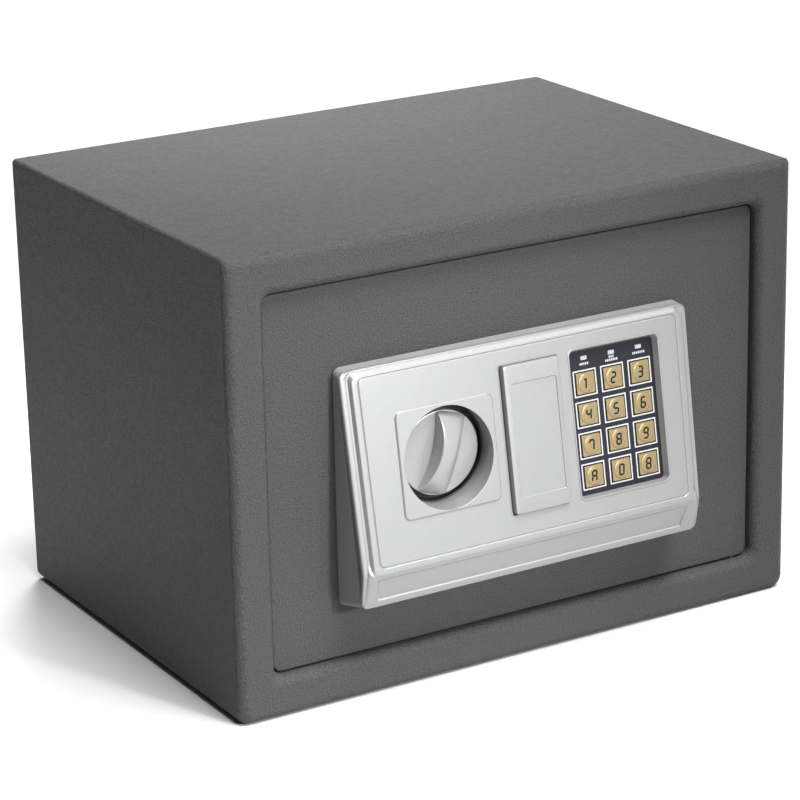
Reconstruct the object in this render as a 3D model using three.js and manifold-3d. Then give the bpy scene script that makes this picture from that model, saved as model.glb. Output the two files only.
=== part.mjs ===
// In-room safe: a folded steel cabinet with a hinged door, two live bolts worked by a turn knob,
// and a tilted electronic console with a keypad and a covered override lock.
// Millimetres, +Z up. The origin is the middle of the base; the front faces -Y.
import * as THREE from 'three';
import { mergeVertices } from 'three/addons/utils/BufferGeometryUtils.js';
import Module from 'manifold-3d';

const wasm = await Module();
wasm.setup();

// ---- Driving dimensions -------------------------------------------------------------------------
const WIDTH = 350;
const DEPTH = 250;
const HEIGHT = 250;
const FRONT = -DEPTH / 2;
const BACK = DEPTH / 2;
const GAP = 0.3;
const SHEET = 1.8;
const BOTTOM_CORNER = 6;
const TOP_CORNER = 2.5;

const FRAME_EDGE = 3.2;
const FLANGE = 22;
const JAMB_ROUND = 5;
const JAMB_DEPTH = 44;
const OPENING_CORNER = 6;
const ANCHOR = { radius: 6, x: 90, floorY: 20, backZ: 125 };
const MAT = { sideGap: 6, frontGap: 3, backGap: 4, thick: 3 };

const DOOR_INSET = 6;
const DOOR_THICK = 4;
const DOOR_GAP = 1.2;
const DOOR_CHAMFER = 0.8;
const DOOR_FACE = FRONT + DOOR_INSET;
const DOOR_BACK = DOOR_FACE + DOOR_THICK;
const DOOR_RIGHT = WIDTH / 2 - FLANGE - DOOR_GAP;
const DOOR_BOTTOM = FLANGE + DOOR_GAP;
const DOOR_TOP = HEIGHT - FLANGE - DOOR_GAP;

const HINGE = { x: DOOR_RIGHT - 8, y: DOOR_BACK, radius: 2.5, reach: 4.6, depth: 22 };

const CONSOLE = {
  left: -112.5, right: 101.7, bottom: 51.8, top: 182.2, corner: 4,
  topY: -126, topZ: 180.9, creaseY: -143.2, creaseZ: 75, footY: -140, footZ: 55.5,
  wall: 2.4, side: 2.2, floor: 1.5,
};
const TILT = Math.atan2(CONSOLE.topY - CONSOLE.creaseY, CONSOLE.topZ - CONSOLE.creaseZ);

// On the console's slope, h is the distance up the slope from the knob. The field is its raised middle.
const PLATEAU = 2;
const FIELD = { left: -108.3, right: 98.6, low: -52.3, high: 53, border: 1.7, corner: 3.5 };
const KNOB_PLATE = { halfWidth: 29.6, halfHeight: 28.9, corner: 3.5, rise: 0.8 };
const KEY_COVER = { left: -17.9, right: 17.5, low: -38.8, high: 40.7, corner: 1.5, rise: 2.3 };
const COVER_PANEL = { left: -14.2, right: 14.4, low: -30.2, high: 31, corner: 0.8, depth: 0.4 };
const POCKET = { gap: 0.5, fingerSlot: 2.3 };

const KNOB = {
  x: -54.5, z: 127.7, faceY: -128.3, radius: 23.2, thick: 4.2, cup: 27, cupWall: 1.6,
  lean: THREE.MathUtils.degToRad(17),
};
const SHAFT_RADIUS = 4;
const SHAFT_HOLE = SHAFT_RADIUS + 0.5;
const CRANK_RADIUS = 8 * Math.SQRT2;
const LOCK = { x: 0.3, z: 128.6, faceY: -132.2, radius: 9.5, flange: 12, plug: 6 };
const CABLE_HOLE = { x: 60, z: 128, radius: 6 };

const KEYPAD = { x: 53.2, h: 0.2, width: 56.8, height: 82, face: 2, corner: 3 };
const KEY = {
  width: 11.6, height: 11.5, pitchX: 17.6, pitchH: 16.85, x: 53.6, h: -3.3, top: 1.3, plate: 1.6, lip: 0.8,
};
const KEY_NAMES = ['1', '2', '3', '4', '5', '6', '7', '8', '9', 'a', '0', 'b'];
const LED = { width: 3.6, height: 2.1, x: 53.9, pitch: 17.6, h: 35.5 };

const BOLT = { radius: 8, neck: 4, tip: -149, shoulder: -118.3, end: -112.5, y: FRONT + 27, spacing: 80 };
const COVER = { left: -137.7, right: 118, bottom: 60, top: 200, back: FRONT + 50, wall: 1.2, corner: 8 };
const SCREW = { columns: [-100, 90], beyond: 5, hole: 2, shank: 1.7, head: 3.6 };
const SOLENOID = {
  x: -75, y: FRONT + 30, low: 164, high: 190, half: 11, plunger: 4, tip: 147, collar: 149,
};
const BAY = { x0: 43, x1: 99, z0: 92, z1: 160, front: FRONT + 27, back: FRONT + 46, wall: 1.6 };
const CELL = { radius: 7.1, length: 50, pitch: 15, x: 71, z: 126, nub: 1.6, nubRadius: 2.7 };
const RESET = { x: 84, z: 181, radius: 3.7 };

// ---- Colours ------------------------------------------------------------------------------------
const FINISH = {
  powder: { color: 0x56575a, roughness: 0.5, metalness: 0.2 },
  silver: { color: 0xc4c5c7, roughness: 0.4, metalness: 0.35 },
  housing: { color: 0x77787a, roughness: 0.55, metalness: 0 },
  label: { color: 0x34353e, roughness: 0.45, metalness: 0 },
  gold: { color: 0xc9b083, roughness: 0.35, metalness: 0.5 },
  lens: { color: 0xe8ecf0, roughness: 0.2, metalness: 0 },
  steel: { color: 0xb6b8ba, roughness: 0.3, metalness: 0.9 },
  zinc: { color: 0x9da0a2, roughness: 0.45, metalness: 0.8 },
  brass: { color: 0xb89a52, roughness: 0.3, metalness: 0.9 },
  black: { color: 0x1c1c1e, roughness: 0.6, metalness: 0 },
  board: { color: 0x1f5b3a, roughness: 0.5, metalness: 0 },
  rubber: { color: 0x3a3a3c, roughness: 0.8, metalness: 0 },
  red: { color: 0xb02a26, roughness: 0.4, metalness: 0 },
  cell: { color: 0x2c4c86, roughness: 0.35, metalness: 0.3 },
  carpet: { color: 0x3d3e42, roughness: 1, metalness: 0 },
};

const safe = new THREE.Group();

// ---- Solids: primitives placed in the part's frame, joined and cut with manifold ----------------
function solid(geometry, matrix = new THREE.Matrix4()) {
  const bare = geometry.clone();
  bare.deleteAttribute('normal');
  bare.deleteAttribute('uv');
  bare.applyMatrix4(matrix);
  const merged = mergeVertices(bare, 1e-4);
  return new wasm.Manifold(new wasm.Mesh({
    numProp: 3,
    vertProperties: new Float32Array(merged.attributes.position.array),
    triVerts: new Uint32Array(merged.index.array),
  }));
}

function addPart(name, manifold, finish) {
  const cut = manifold.getMesh();
  const geometry = new THREE.BufferGeometry();
  geometry.setAttribute('position', new THREE.BufferAttribute(cut.vertProperties, 3));
  geometry.setIndex(new THREE.BufferAttribute(cut.triVerts, 1));
  geometry.computeVertexNormals();
  const mesh = new THREE.Mesh(geometry, new THREE.MeshStandardMaterial(FINISH[finish]));
  mesh.name = name;
  safe.add(mesh);
}

const X_AXIS = new THREE.Vector3(1, 0, 0);
const Y_AXIS = new THREE.Vector3(0, 1, 0);
const Z_AXIS = new THREE.Vector3(0, 0, 1);
// The console's sloping face as a frame: local X is X, local Z climbs the slope and local -Y points
// out of it. Its origin is on the rim plane, level with the knob's shaft.
const SLOPE = new THREE.Matrix4().makeRotationX(-TILT).setPosition(
  0, CONSOLE.topY - (CONSOLE.topZ - KNOB.z) * Math.tan(TILT), KNOB.z);

function box(x0, x1, y0, y1, z0, z1, matrix) {
  const geometry = new THREE.BoxGeometry(x1 - x0, y1 - y0, z1 - z0);
  geometry.translate((x0 + x1) / 2, (y0 + y1) / 2, (z0 + z1) / 2);
  return solid(geometry, matrix);
}

// Stands an extrusion up in X and Z, so that it starts at y and grows towards the front.
function standUp(geometry, y) {
  const upright = new THREE.Matrix4().makeBasis(X_AXIS, Z_AXIS, Y_AXIS.clone().negate());
  return geometry.applyMatrix4(upright.setPosition(0, y, 0));
}

// An outline drawn in X and Z, extruded from y0 (front) to y1 (back).
function plate(shape, y0, y1, matrix) {
  const options = { depth: y1 - y0, bevelEnabled: false, curveSegments: 2 };
  return solid(standUp(new THREE.ExtrudeGeometry(shape, options), y1), matrix);
}

// An outline given as [y, z] points, extruded along X.
function wedge(points, x0, x1) {
  const shape = new THREE.Shape(points.map(([y, z]) => new THREE.Vector2(y, z)));
  const geometry = new THREE.ExtrudeGeometry(shape, { depth: x1 - x0, bevelEnabled: false });
  const sideways = new THREE.Matrix4().makeBasis(Y_AXIS, Z_AXIS, X_AXIS);
  return solid(geometry, sideways.setPosition(x0, 0, 0));
}

function rectangle(x0, x1, z0, z1, bottom, top = bottom) {
  const shape = new THREE.Shape();
  const quarter = Math.PI / 2;
  shape.absarc(x1 - bottom, z0 + bottom, bottom, -quarter, 0);
  shape.absarc(x1 - top, z1 - top, top, 0, quarter);
  shape.absarc(x0 + top, z1 - top, top, quarter, 2 * quarter);
  shape.absarc(x0 + bottom, z0 + bottom, bottom, 2 * quarter, 3 * quarter);
  return shape;
}

function rod(axis, radius, from, to, a, b, sides = 20) {
  const geometry = new THREE.CylinderGeometry(radius, radius, to - from, sides);
  const middle = (from + to) / 2;
  if (axis === 'x') geometry.rotateZ(-Math.PI / 2).translate(middle, a, b);
  if (axis === 'y') geometry.translate(a, middle, b);
  if (axis === 'z') geometry.rotateX(Math.PI / 2).translate(a, b, middle);
  return solid(geometry);
}

// A closed skin through rings of points: every ring has the same count, and either the last ring
// joins the first or both end rings are capped.
function skin(rings, joined) {
  const count = rings[0].length;
  const index = [];
  const pairs = joined ? rings.length : rings.length - 1;
  for (let i = 0; i < pairs; i += 1) {
    const next = (i + 1) % rings.length;
    for (let j = 0; j < count; j += 1) {
      const k = (j + 1) % count;
      index.push(i * count + j, i * count + k, next * count + j);
      index.push(i * count + k, next * count + k, next * count + j);
    }
  }
  if (!joined) {
    const last = (rings.length - 1) * count;
    for (let j = 1; j < count - 1; j += 1) {
      index.push(0, j + 1, j);
      index.push(last, last + j, last + j + 1);
    }
  }
  const geometry = new THREE.BufferGeometry().setFromPoints(rings.flat());
  geometry.setIndex(index);
  return solid(geometry);
}

function arcPoints(cx, cy, radius, from, to, steps) {
  const points = [];
  for (let i = 0; i <= steps; i += 1) {
    const angle = THREE.MathUtils.degToRad(from + ((to - from) * i) / steps);
    points.push([cx + radius * Math.cos(angle), cy + radius * Math.sin(angle)]);
  }
  return points;
}

// ---- Cabinet ------------------------------------------------------------------------------------
function cabinetOutline(inset) {
  const half = WIDTH / 2 - inset;
  const top = Math.max(TOP_CORNER - inset, 0.7);
  return rectangle(-half, half, inset, HEIGHT - inset, BOTTOM_CORNER - inset, top);
}

function bodyWrap() {
  const start = FRONT + FRAME_EDGE + GAP;
  let wrap = plate(cabinetOutline(0), start, BACK);
  wrap = wrap.subtract(plate(cabinetOutline(SHEET), start - 1, BACK + 1));
  for (const x of [-ANCHOR.x, ANCHOR.x]) {
    wrap = wrap.subtract(rod('z', ANCHOR.radius, -1, SHEET + 1, x, ANCHOR.floorY));
  }
  return wrap;
}

function backPanel() {
  let panel = plate(cabinetOutline(SHEET + GAP), BACK - SHEET, BACK);
  for (const x of [-ANCHOR.x, ANCHOR.x]) {
    panel = panel.subtract(rod('y', ANCHOR.radius, BACK - 10, BACK + 1, x, ANCHOR.backZ));
  }
  return panel;
}

function floorMat() {
  const half = WIDTH / 2 - MAT.sideGap;
  const low = SHEET + GAP;
  const front = FRONT + JAMB_DEPTH + MAT.frontGap;
  let mat = box(-half, half, front, BACK - MAT.backGap, low, low + MAT.thick);
  for (const x of [-ANCHOR.x, ANCHOR.x]) {
    mat = mat.subtract(rod('z', ANCHOR.radius + 1, 0, 10, x, ANCHOR.floorY));
  }
  return mat;
}

// The frame's section goes round the outer edge, across the flange, round into the doorway and back
// along the jamb, one sheet thick. Its first number is the distance in from the cabinet's outline.
function frameSection() {
  const edge = FRONT + FRAME_EDGE;
  const jamb = FLANGE - JAMB_ROUND;
  return [
    ...arcPoints(FRAME_EDGE, edge, FRAME_EDGE, 180, 270, 4),
    ...arcPoints(jamb, FRONT + JAMB_ROUND, JAMB_ROUND, 270, 360, 5),
    [FLANGE, FRONT + JAMB_DEPTH],
    [FLANGE - SHEET, FRONT + JAMB_DEPTH],
    ...arcPoints(jamb, FRONT + JAMB_ROUND, JAMB_ROUND - SHEET, 360, 270, 2),
    ...arcPoints(FRAME_EDGE, edge, FRAME_EDGE - SHEET, 270, 180, 1),
  ];
}

function frameRing([inset, y]) {
  const share = inset / FLANGE;
  const bottom = BOTTOM_CORNER + (OPENING_CORNER - BOTTOM_CORNER) * share;
  const top = TOP_CORNER + (OPENING_CORNER - TOP_CORNER) * share;
  const half = WIDTH / 2 - inset;
  const low = inset;
  const high = HEIGHT - inset;
  const outline = [
    ...arcPoints(half - bottom, low + bottom, bottom, -90, 0, 4),
    ...arcPoints(half - top, high - top, top, 0, 90, 4),
    ...arcPoints(top - half, high - top, top, 90, 180, 4),
    ...arcPoints(bottom - half, low + bottom, bottom, 180, 270, 4),
  ];
  return outline.map(([x, z]) => new THREE.Vector3(x, y, z));
}

function frontFrame() {
  let frame = skin(frameSection().map(frameRing), true);
  const jambX = -WIDTH / 2 + FLANGE;
  for (const z of boltHeights()) {
    frame = frame.subtract(rod('x', BOLT.radius + 0.8, jambX - 4, jambX + 1, BOLT.y, z));
  }
  for (const z of [FLANGE - 1, HEIGHT - FLANGE + 1]) frame = frame.subtract(hingeBore(z - 3, z + 3));
  return frame;
}

// ---- Door and hinge -----------------------------------------------------------------------------
function boltHeights() {
  return [KNOB.z - BOLT.spacing / 2, KNOB.z + BOLT.spacing / 2];
}

function screwPlaces() {
  const places = [];
  for (const x of SCREW.columns) {
    for (const z of [COVER.bottom - SCREW.beyond, COVER.top + SCREW.beyond]) places.push([x, z]);
  }
  return places;
}

function hingeBore(low, high) {
  return rod('z', HINGE.radius + GAP, low, high, HINGE.x, HINGE.y, 24);
}

function cableHole(from, to) {
  return rod('y', CABLE_HOLE.radius, from, to, CABLE_HOLE.x, CABLE_HOLE.z, 24);
}

function doorOutline(inset) {
  const half = DOOR_RIGHT - inset;
  const corner = OPENING_CORNER - DOOR_GAP - inset;
  return rectangle(-half, half, DOOR_BOTTOM + inset, DOOR_TOP - inset, corner);
}

function doorPlate() {
  const front = DOOR_FACE - 1;
  const back = DOOR_BACK + 1;
  let door = plate(doorOutline(0), DOOR_FACE + DOOR_CHAMFER, DOOR_BACK);
  door = door.add(plate(doorOutline(DOOR_CHAMFER), DOOR_FACE, DOOR_FACE + 2));
  door = door.subtract(rod('y', SHAFT_HOLE, front, back, KNOB.x, KNOB.z));
  door = door.subtract(rod('y', LOCK.radius + GAP, front, back, LOCK.x, LOCK.z));
  door = door.subtract(cableHole(front, back));
  for (const [x, z] of screwPlaces()) {
    door = door.subtract(rod('y', SCREW.hole, DOOR_FACE + 1.5, back, x, z, 16));
  }
  for (const z of [DOOR_BOTTOM + 10, DOOR_TOP - 10]) {
    door = door.subtract(hingeBore(z - HINGE.depth, z + HINGE.depth));
  }
  return door;
}

function hingePin(low, high) {
  return rod('z', HINGE.radius, low, high, HINGE.x, HINGE.y, 24);
}

function hingeBlock(low, high) {
  const block = box(HINGE.x - 7, HINGE.x + 6.6, DOOR_BACK + GAP, DOOR_BACK + 9, low, high);
  return block.subtract(hingeBore(low - 1, high + 1));
}

// ---- Console ------------------------------------------------------------------------------------
// Side profile of the console's front, moved back from the rim by the given distance.
function consoleProfile(offset, grow = 0) {
  return [
    [DOOR_FACE - GAP, CONSOLE.top + grow],
    [CONSOLE.topY + offset, CONSOLE.topZ + grow],
    [CONSOLE.creaseY + offset, CONSOLE.creaseZ],
    [CONSOLE.footY + offset, CONSOLE.footZ - grow],
    [DOOR_FACE - GAP, CONSOLE.bottom - grow],
  ];
}

function consoleOutline(inset) {
  const { left, right, bottom, top, corner } = CONSOLE;
  return rectangle(left + inset, right - inset, bottom + inset, top - inset, corner);
}

function consoleBlock(offset) {
  const block = wedge(consoleProfile(offset), CONSOLE.left, CONSOLE.right);
  return block.intersect(plate(consoleOutline(0), FRONT - 40, DOOR_FACE));
}

function consoleBase() {
  const back = DOOR_FACE + 1;
  const floor = DOOR_FACE - GAP - CONSOLE.floor;
  const hollow = plate(consoleOutline(CONSOLE.side), FRONT - 40, floor);
  let base = consoleBlock(CONSOLE.wall + GAP).subtract(hollow);
  base = base.subtract(rod('y', SHAFT_HOLE, floor - 1, back, KNOB.x, KNOB.z));
  base = base.subtract(rod('y', LOCK.radius + GAP, floor - 1, back, LOCK.x, LOCK.z));
  return base.subtract(cableHole(floor - 1, back));
}

// The raised field of the console's front, with its sloping border.
function raisedField() {
  const { left, right, low, high, border, corner } = FIELD;
  const shape = rectangle(left + border, right - border, low + border, high - border, corner);
  const geometry = new THREE.ExtrudeGeometry(shape, {
    depth: 0.5, bevelThickness: PLATEAU, bevelSize: border, bevelSegments: 1, curveSegments: 2,
  });
  const slab = box(-200, 200, -PLATEAU, 1, -100, 100, SLOPE);
  return solid(standUp(geometry, 0.5), SLOPE).intersect(slab);
}

function knobPlate() {
  const { halfWidth, halfHeight, corner, rise } = KNOB_PLATE;
  const outline = rectangle(KNOB.x - halfWidth, KNOB.x + halfWidth, -halfHeight, halfHeight, corner);
  return plate(outline, -PLATEAU - rise, 0, SLOPE);
}

function keypadOutline(grow, corner) {
  const { x, h } = KEYPAD;
  const halfWidth = KEYPAD.width / 2 + grow;
  const halfHeight = KEYPAD.height / 2 + grow;
  return rectangle(x - halfWidth, x + halfWidth, h - halfHeight, h + halfHeight, corner);
}

// The window the keys show through, and the wider rebate behind it that the keypad plate sits in.
function keypadWell() {
  const mouth = plate(keypadOutline(0, KEYPAD.corner), -PLATEAU - 5, 8, SLOPE);
  return mouth.add(plate(keypadOutline(1, KEYPAD.corner), KEYPAD.face - GAP, 8, SLOPE));
}

function keyCoverPocket() {
  const { left, right, low, high, corner } = KEY_COVER;
  const { gap, fingerSlot } = POCKET;
  const pocket = rectangle(left - gap, right + gap, low - gap, high + gap, corner);
  const slot = rectangle(left - fingerSlot, 0, low - gap, high + gap, 1);
  return plate(pocket, -8, 0.2, SLOPE).add(plate(slot, -8, 0.2, SLOPE));
}

// The knob's cup reaches back from the slope nearly to the console's floor.
function knobCup(back) {
  const cup = rod('y', KNOB.cup + KNOB.cupWall, FRONT - 11, back, KNOB.x, KNOB.z, 40);
  return cup.intersect(plate(rectangle(-100, 0, -40, 40, 1), -1, 30, SLOPE));
}

function consoleFront() {
  const ahead = FRONT - 40;
  const cupBack = DOOR_FACE - GAP - CONSOLE.floor - 2 * GAP;
  const inside = wedge(consoleProfile(CONSOLE.wall, 3), CONSOLE.left - 1, CONSOLE.right + 1);
  let front = consoleBlock(0).subtract(inside);
  front = front.add(raisedField()).add(knobPlate()).add(knobCup(cupBack));
  front = front.subtract(rod('y', KNOB.cup, ahead, cupBack - 1.2, KNOB.x, KNOB.z, 40));
  front = front.subtract(rod('y', SHAFT_HOLE, ahead, cupBack + 1, KNOB.x, KNOB.z));
  front = front.subtract(rod('y', LOCK.flange + 0.8, ahead, FRONT, LOCK.x, LOCK.z));
  return front.subtract(keyCoverPocket()).subtract(keypadWell());
}

function keyCover() {
  const { left, right, low, high, corner, rise } = KEY_COVER;
  const face = -PLATEAU - rise;
  const cover = plate(rectangle(left, right, low, high, corner), face, -0.1, SLOPE);
  const panel = COVER_PANEL;
  const sunk = rectangle(panel.left, panel.right, panel.low, panel.high, panel.corner);
  return cover.subtract(plate(sunk, face - 1, face + panel.depth, SLOPE));
}

// ---- Keypad -------------------------------------------------------------------------------------
function keyPlaces() {
  return KEY_NAMES.map((name, i) => ({
    name,
    x: KEY.x + KEY.pitchX * ((i % 3) - 1),
    h: KEY.h + KEY.pitchH * (1.5 - Math.floor(i / 3)),
  }));
}

function ledPlaces() {
  return ['left', 'middle', 'right'].map((name, i) => ({ name, x: LED.x + LED.pitch * (i - 1), h: LED.h }));
}

// A block the size of a key or a lamp, grown all round, between two depths below the rim.
function keypadBlock({ x, h }, { width, height }, grow, y0, y1) {
  const halfWidth = width / 2 + grow;
  const halfHeight = height / 2 + grow;
  return box(x - halfWidth, x + halfWidth, y0, y1, h - halfHeight, h + halfHeight, SLOPE);
}

function keypadPlate() {
  let base = plate(keypadOutline(0.6, 2.5), KEYPAD.face, KEYPAD.face + KEY.plate, SLOPE);
  for (const place of keyPlaces()) base = base.subtract(keypadBlock(place, KEY, GAP, 0, 8));
  for (const place of ledPlaces()) base = base.subtract(keypadBlock(place, LED, GAP, 0, 8));
  return base;
}

function keyButton(place) {
  const body = keypadBlock(place, KEY, 0, KEY.top, 4);
  const flange = keypadBlock(place, KEY, KEY.lip, 3.9, 4.5);
  const dome = new THREE.CylinderGeometry(3.6, 4.6, 0.9, 16).rotateX(Math.PI);
  dome.translate(place.x, KEY.top, place.h);
  return body.add(flange).add(solid(dome, SLOPE));
}

function ledPipe(place) {
  return keypadBlock(place, LED, 0, 1.9, 5);
}

// A sheet behind the keys, short of the keypad's top edge so that it clears the console's own wall.
function keypadSheet(front, back) {
  const { x, h, width, height } = KEYPAD;
  const shortfall = 3;
  const shape = rectangle(x - width / 2, x + width / 2, h - height / 2, h + height / 2 - shortfall, 2);
  return plate(shape, front, back, SLOPE);
}

// ---- Turn knob and bolt work --------------------------------------------------------------------
// The grip crosses the disc as an arch that is waisted in the middle.
function gripRings() {
  const rings = [];
  const steps = 10;
  const reach = KNOB.radius - 0.8;
  for (let i = 0; i <= steps; i += 1) {
    const along = -1 + (2 * i) / steps;
    const foot = 6.4 + 2.6 * along * along;
    const crest = foot - 1.6 * (1 - along * along);
    const height = 0.25 + 8 * Math.sqrt(Math.max(0, 1 - along * along));
    const section = [[foot, 1], [-foot, 1], [-crest, -height], [-crest * 0.4, -height - 0.5],
      [crest * 0.4, -height - 0.5], [crest, -height]];
    rings.push(section.map(([across, y]) => new THREE.Vector3(across, y, along * reach)));
  }
  return rings;
}

function turnKnob() {
  const { x, z, faceY, radius, thick, lean } = KNOB;
  const place = new THREE.Matrix4().makeRotationY(lean).setPosition(x, faceY, z);
  const grip = skin(gripRings().map((ring) => ring.map((point) => point.applyMatrix4(place))), false);
  const bound = rod('y', radius - 0.4, faceY - 12, faceY + 2, x, z, 40);
  const disc = rod('y', radius, faceY, faceY + thick, x, z, 40);
  const bore = rod('y', SHAFT_RADIUS + GAP, faceY + 1.2, FRONT + 5, x, z);
  return disc.add(grip.intersect(bound)).subtract(bore);
}

function knobShaft() {
  return rod('y', SHAFT_RADIUS, KNOB.faceY + 1.5, FRONT + 26, KNOB.x, KNOB.z);
}

function knobCam() {
  const reach = CRANK_RADIUS * Math.SQRT1_2;
  const disc = rod('y', 18, FRONT + 20, FRONT + 24, KNOB.x, KNOB.z, 28);
  const boss = rod('y', 7, FRONT + 13, FRONT + 20, KNOB.x, KNOB.z);
  const pin = rod('y', 2.5, FRONT + 23, FRONT + 34, KNOB.x + reach, KNOB.z + reach, 12);
  return disc.add(boss).add(pin).subtract(rod('y', SHAFT_RADIUS + GAP, FRONT, FRONT + 30, KNOB.x, KNOB.z));
}

function lockChassis() {
  const left = COVER.left + COVER.wall + GAP;
  let chassis = box(left, -16, DOOR_BACK + GAP, DOOR_BACK + 2.1, 70, 191);
  chassis = chassis.add(box(left, left + SHEET, DOOR_BACK + GAP, FRONT + 40, 70, 191));
  for (const z of boltHeights()) {
    chassis = chassis.subtract(rod('x', BOLT.radius + GAP, left - 1, left + 4, BOLT.y, z));
  }
  return chassis.subtract(rod('y', 12, FRONT, FRONT + 30, KNOB.x, KNOB.z));
}

function liveBolt(z) {
  const points = [[0, BOLT.tip], [BOLT.radius - 1.5, BOLT.tip], [BOLT.radius, BOLT.tip + 1.5],
    [BOLT.radius, BOLT.shoulder], [BOLT.neck, BOLT.shoulder], [BOLT.neck, BOLT.end], [0, BOLT.end]];
  const profile = points.map(([radius, x]) => new THREE.Vector2(radius, x));
  const geometry = new THREE.LatheGeometry(profile, 20);
  return solid(geometry.rotateZ(-Math.PI / 2).translate(0, BOLT.y, z));
}

function boltCarriage() {
  const pinX = KNOB.x + CRANK_RADIUS * Math.SQRT1_2;
  const low = KNOB.z + CRANK_RADIUS * Math.SQRT1_2;
  const high = KNOB.z + CRANK_RADIUS;
  let carriage = box(-118, -115, FRONT + 17, FRONT + 37, 76, 180);
  carriage = carriage.add(box(-116, -38, FRONT + 29, FRONT + 31, 108, 146));
  for (const z of boltHeights()) {
    carriage = carriage.subtract(rod('x', BOLT.neck + GAP, -120, -110, BOLT.y, z));
  }
  return carriage.subtract(box(pinX - 3.2, pinX + 3.2, FRONT + 25, FRONT + 35, low - 3.2, high + 3.2));
}

// ---- Override lock ------------------------------------------------------------------------------
function overrideLock() {
  const barrel = rod('y', LOCK.radius, LOCK.faceY, FRONT + 24, LOCK.x, LOCK.z);
  const flange = rod('y', LOCK.flange, LOCK.faceY, LOCK.faceY + 2, LOCK.x, LOCK.z);
  return barrel.add(flange).subtract(rod('y', LOCK.plug + GAP, LOCK.faceY - 1, FRONT + 25, LOCK.x, LOCK.z));
}

function overridePlug() {
  const { x, z, faceY, plug } = LOCK;
  const keySlot = box(x - 3.8, x + 3.8, faceY - 1, faceY + 12, z - 0.7, z + 0.7);
  return rod('y', plug, faceY + 0.2, FRONT + 30, x, z).subtract(keySlot);
}

function overrideCam() {
  const arm = box(LOCK.x - 4, LOCK.x + 4, FRONT + 26, FRONT + 28, LOCK.z - 22, LOCK.z);
  const hub = rod('y', 9, FRONT + 26, FRONT + 28, LOCK.x, LOCK.z);
  return arm.add(hub).subtract(rod('y', LOCK.plug + GAP, FRONT + 20, FRONT + 30, LOCK.x, LOCK.z));
}

function lockNut() {
  const nut = rod('y', 13, DOOR_BACK + GAP, DOOR_BACK + 4.5, LOCK.x, LOCK.z, 6);
  return nut.subtract(rod('y', LOCK.radius + GAP, DOOR_BACK, DOOR_BACK + 6, LOCK.x, LOCK.z));
}

// ---- Solenoid -----------------------------------------------------------------------------------
function solenoidBody() {
  const { x, y, low, high, half, plunger } = SOLENOID;
  const yoke = box(x - half - 2, x + half + 2, y - half, y + half, low, high);
  const winding = rod('z', half + 2, low + 3, high - 3, x, y);
  const relief = box(x - half - 3, x + half + 3, y - half - 1, y + half + 1, low + 3, high - 3);
  const plates = yoke.subtract(relief);
  const strap = box(x - half - 2, x + half + 2, y - half - 2, y - half, low, high);
  return plates.add(winding).add(strap).subtract(rod('z', plunger + GAP, low - 1, high - 4, x, y));
}

function solenoidPlunger() {
  const { x, y, plunger, tip, collar, high } = SOLENOID;
  return rod('z', plunger, tip, high - 10, x, y).add(rod('z', 6.2, tip, collar, x, y));
}

class Helix extends THREE.Curve {
  constructor(radius, low, high, turns) {
    super();
    Object.assign(this, { radius, low, high, turns });
  }

  getPoint(t, target = new THREE.Vector3()) {
    const angle = t * this.turns * 2 * Math.PI;
    const z = this.low + (this.high - this.low) * t;
    return target.set(this.radius * Math.cos(angle), this.radius * Math.sin(angle), z);
  }
}

function plungerSpring() {
  const { x, y, low, collar } = SOLENOID;
  const wire = new THREE.Shape().absarc(0, 0, 0.45, 0, 2 * Math.PI);
  const path = new Helix(5.3, collar + 0.8, low - 0.8, 4);
  const options = { steps: 44, bevelEnabled: false, extrudePath: path, curveSegments: 2 };
  return solid(new THREE.ExtrudeGeometry(wire, options).translate(x, y, 0));
}

// ---- Inner cover and battery bay ----------------------------------------------------------------
function coverOutline(inset) {
  const { left, right, bottom, top, corner } = COVER;
  return rectangle(left + inset, right - inset, bottom + inset, top - inset, corner - inset);
}

// A screw ear that stands out past the cover's rim.
function coverEar(x, z) {
  const front = DOOR_BACK + GAP;
  const ear = plate(rectangle(x - 9, x + 9, z - 6, z + 6, 3), front, front + COVER.wall);
  return ear.subtract(plate(coverOutline(COVER.wall), FRONT, COVER.back));
}

function bayOutline(inset, corner = 3) {
  return rectangle(BAY.x0 + inset, BAY.x1 - inset, BAY.z0 + inset, BAY.z1 - inset, corner);
}

function innerCover() {
  const { left, back, wall } = COVER;
  const front = DOOR_BACK + GAP;
  let cover = plate(coverOutline(0), front, back);
  cover = cover.subtract(plate(coverOutline(wall), front - 1, back - wall));
  for (const [x, z] of screwPlaces()) {
    cover = cover.add(coverEar(x, z)).subtract(rod('y', SCREW.hole, front - 1, front + 3, x, z, 16));
  }
  for (const z of boltHeights()) {
    cover = cover.subtract(rod('x', BOLT.radius + 0.6, left - 2, left + 4, BOLT.y, z));
  }
  cover = cover.subtract(plate(bayOutline(-GAP), back - 5, back + 1));
  return cover.subtract(rod('y', RESET.radius + 0.4, back - 5, back + 1, RESET.x, RESET.z));
}

function coverScrew(x, z) {
  const seat = DOOR_BACK + GAP + COVER.wall + GAP;
  const shank = rod('y', SCREW.shank, DOOR_FACE + 1.8, seat + 0.5, x, z, 16);
  return shank.add(rod('y', SCREW.head, seat, seat + 2.2, x, z, 24));
}

function batteryBox() {
  const { wall, front, back } = BAY;
  return plate(bayOutline(0), front, back).subtract(plate(bayOutline(wall, 2), front + 1.5, back + 1));
}

function batteryCover() {
  const { x0, x1, z0, back } = BAY;
  let cover = plate(bayOutline(GAP), back + 1.2, back + 3.8);
  for (let i = 0; i < 5; i += 1) {
    const z = z0 + 8 + i * 3;
    cover = cover.subtract(box(x0 + 14, x1 - 14, back + 3.2, back + 5, z, z + 1.4));
  }
  return cover;
}

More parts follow.
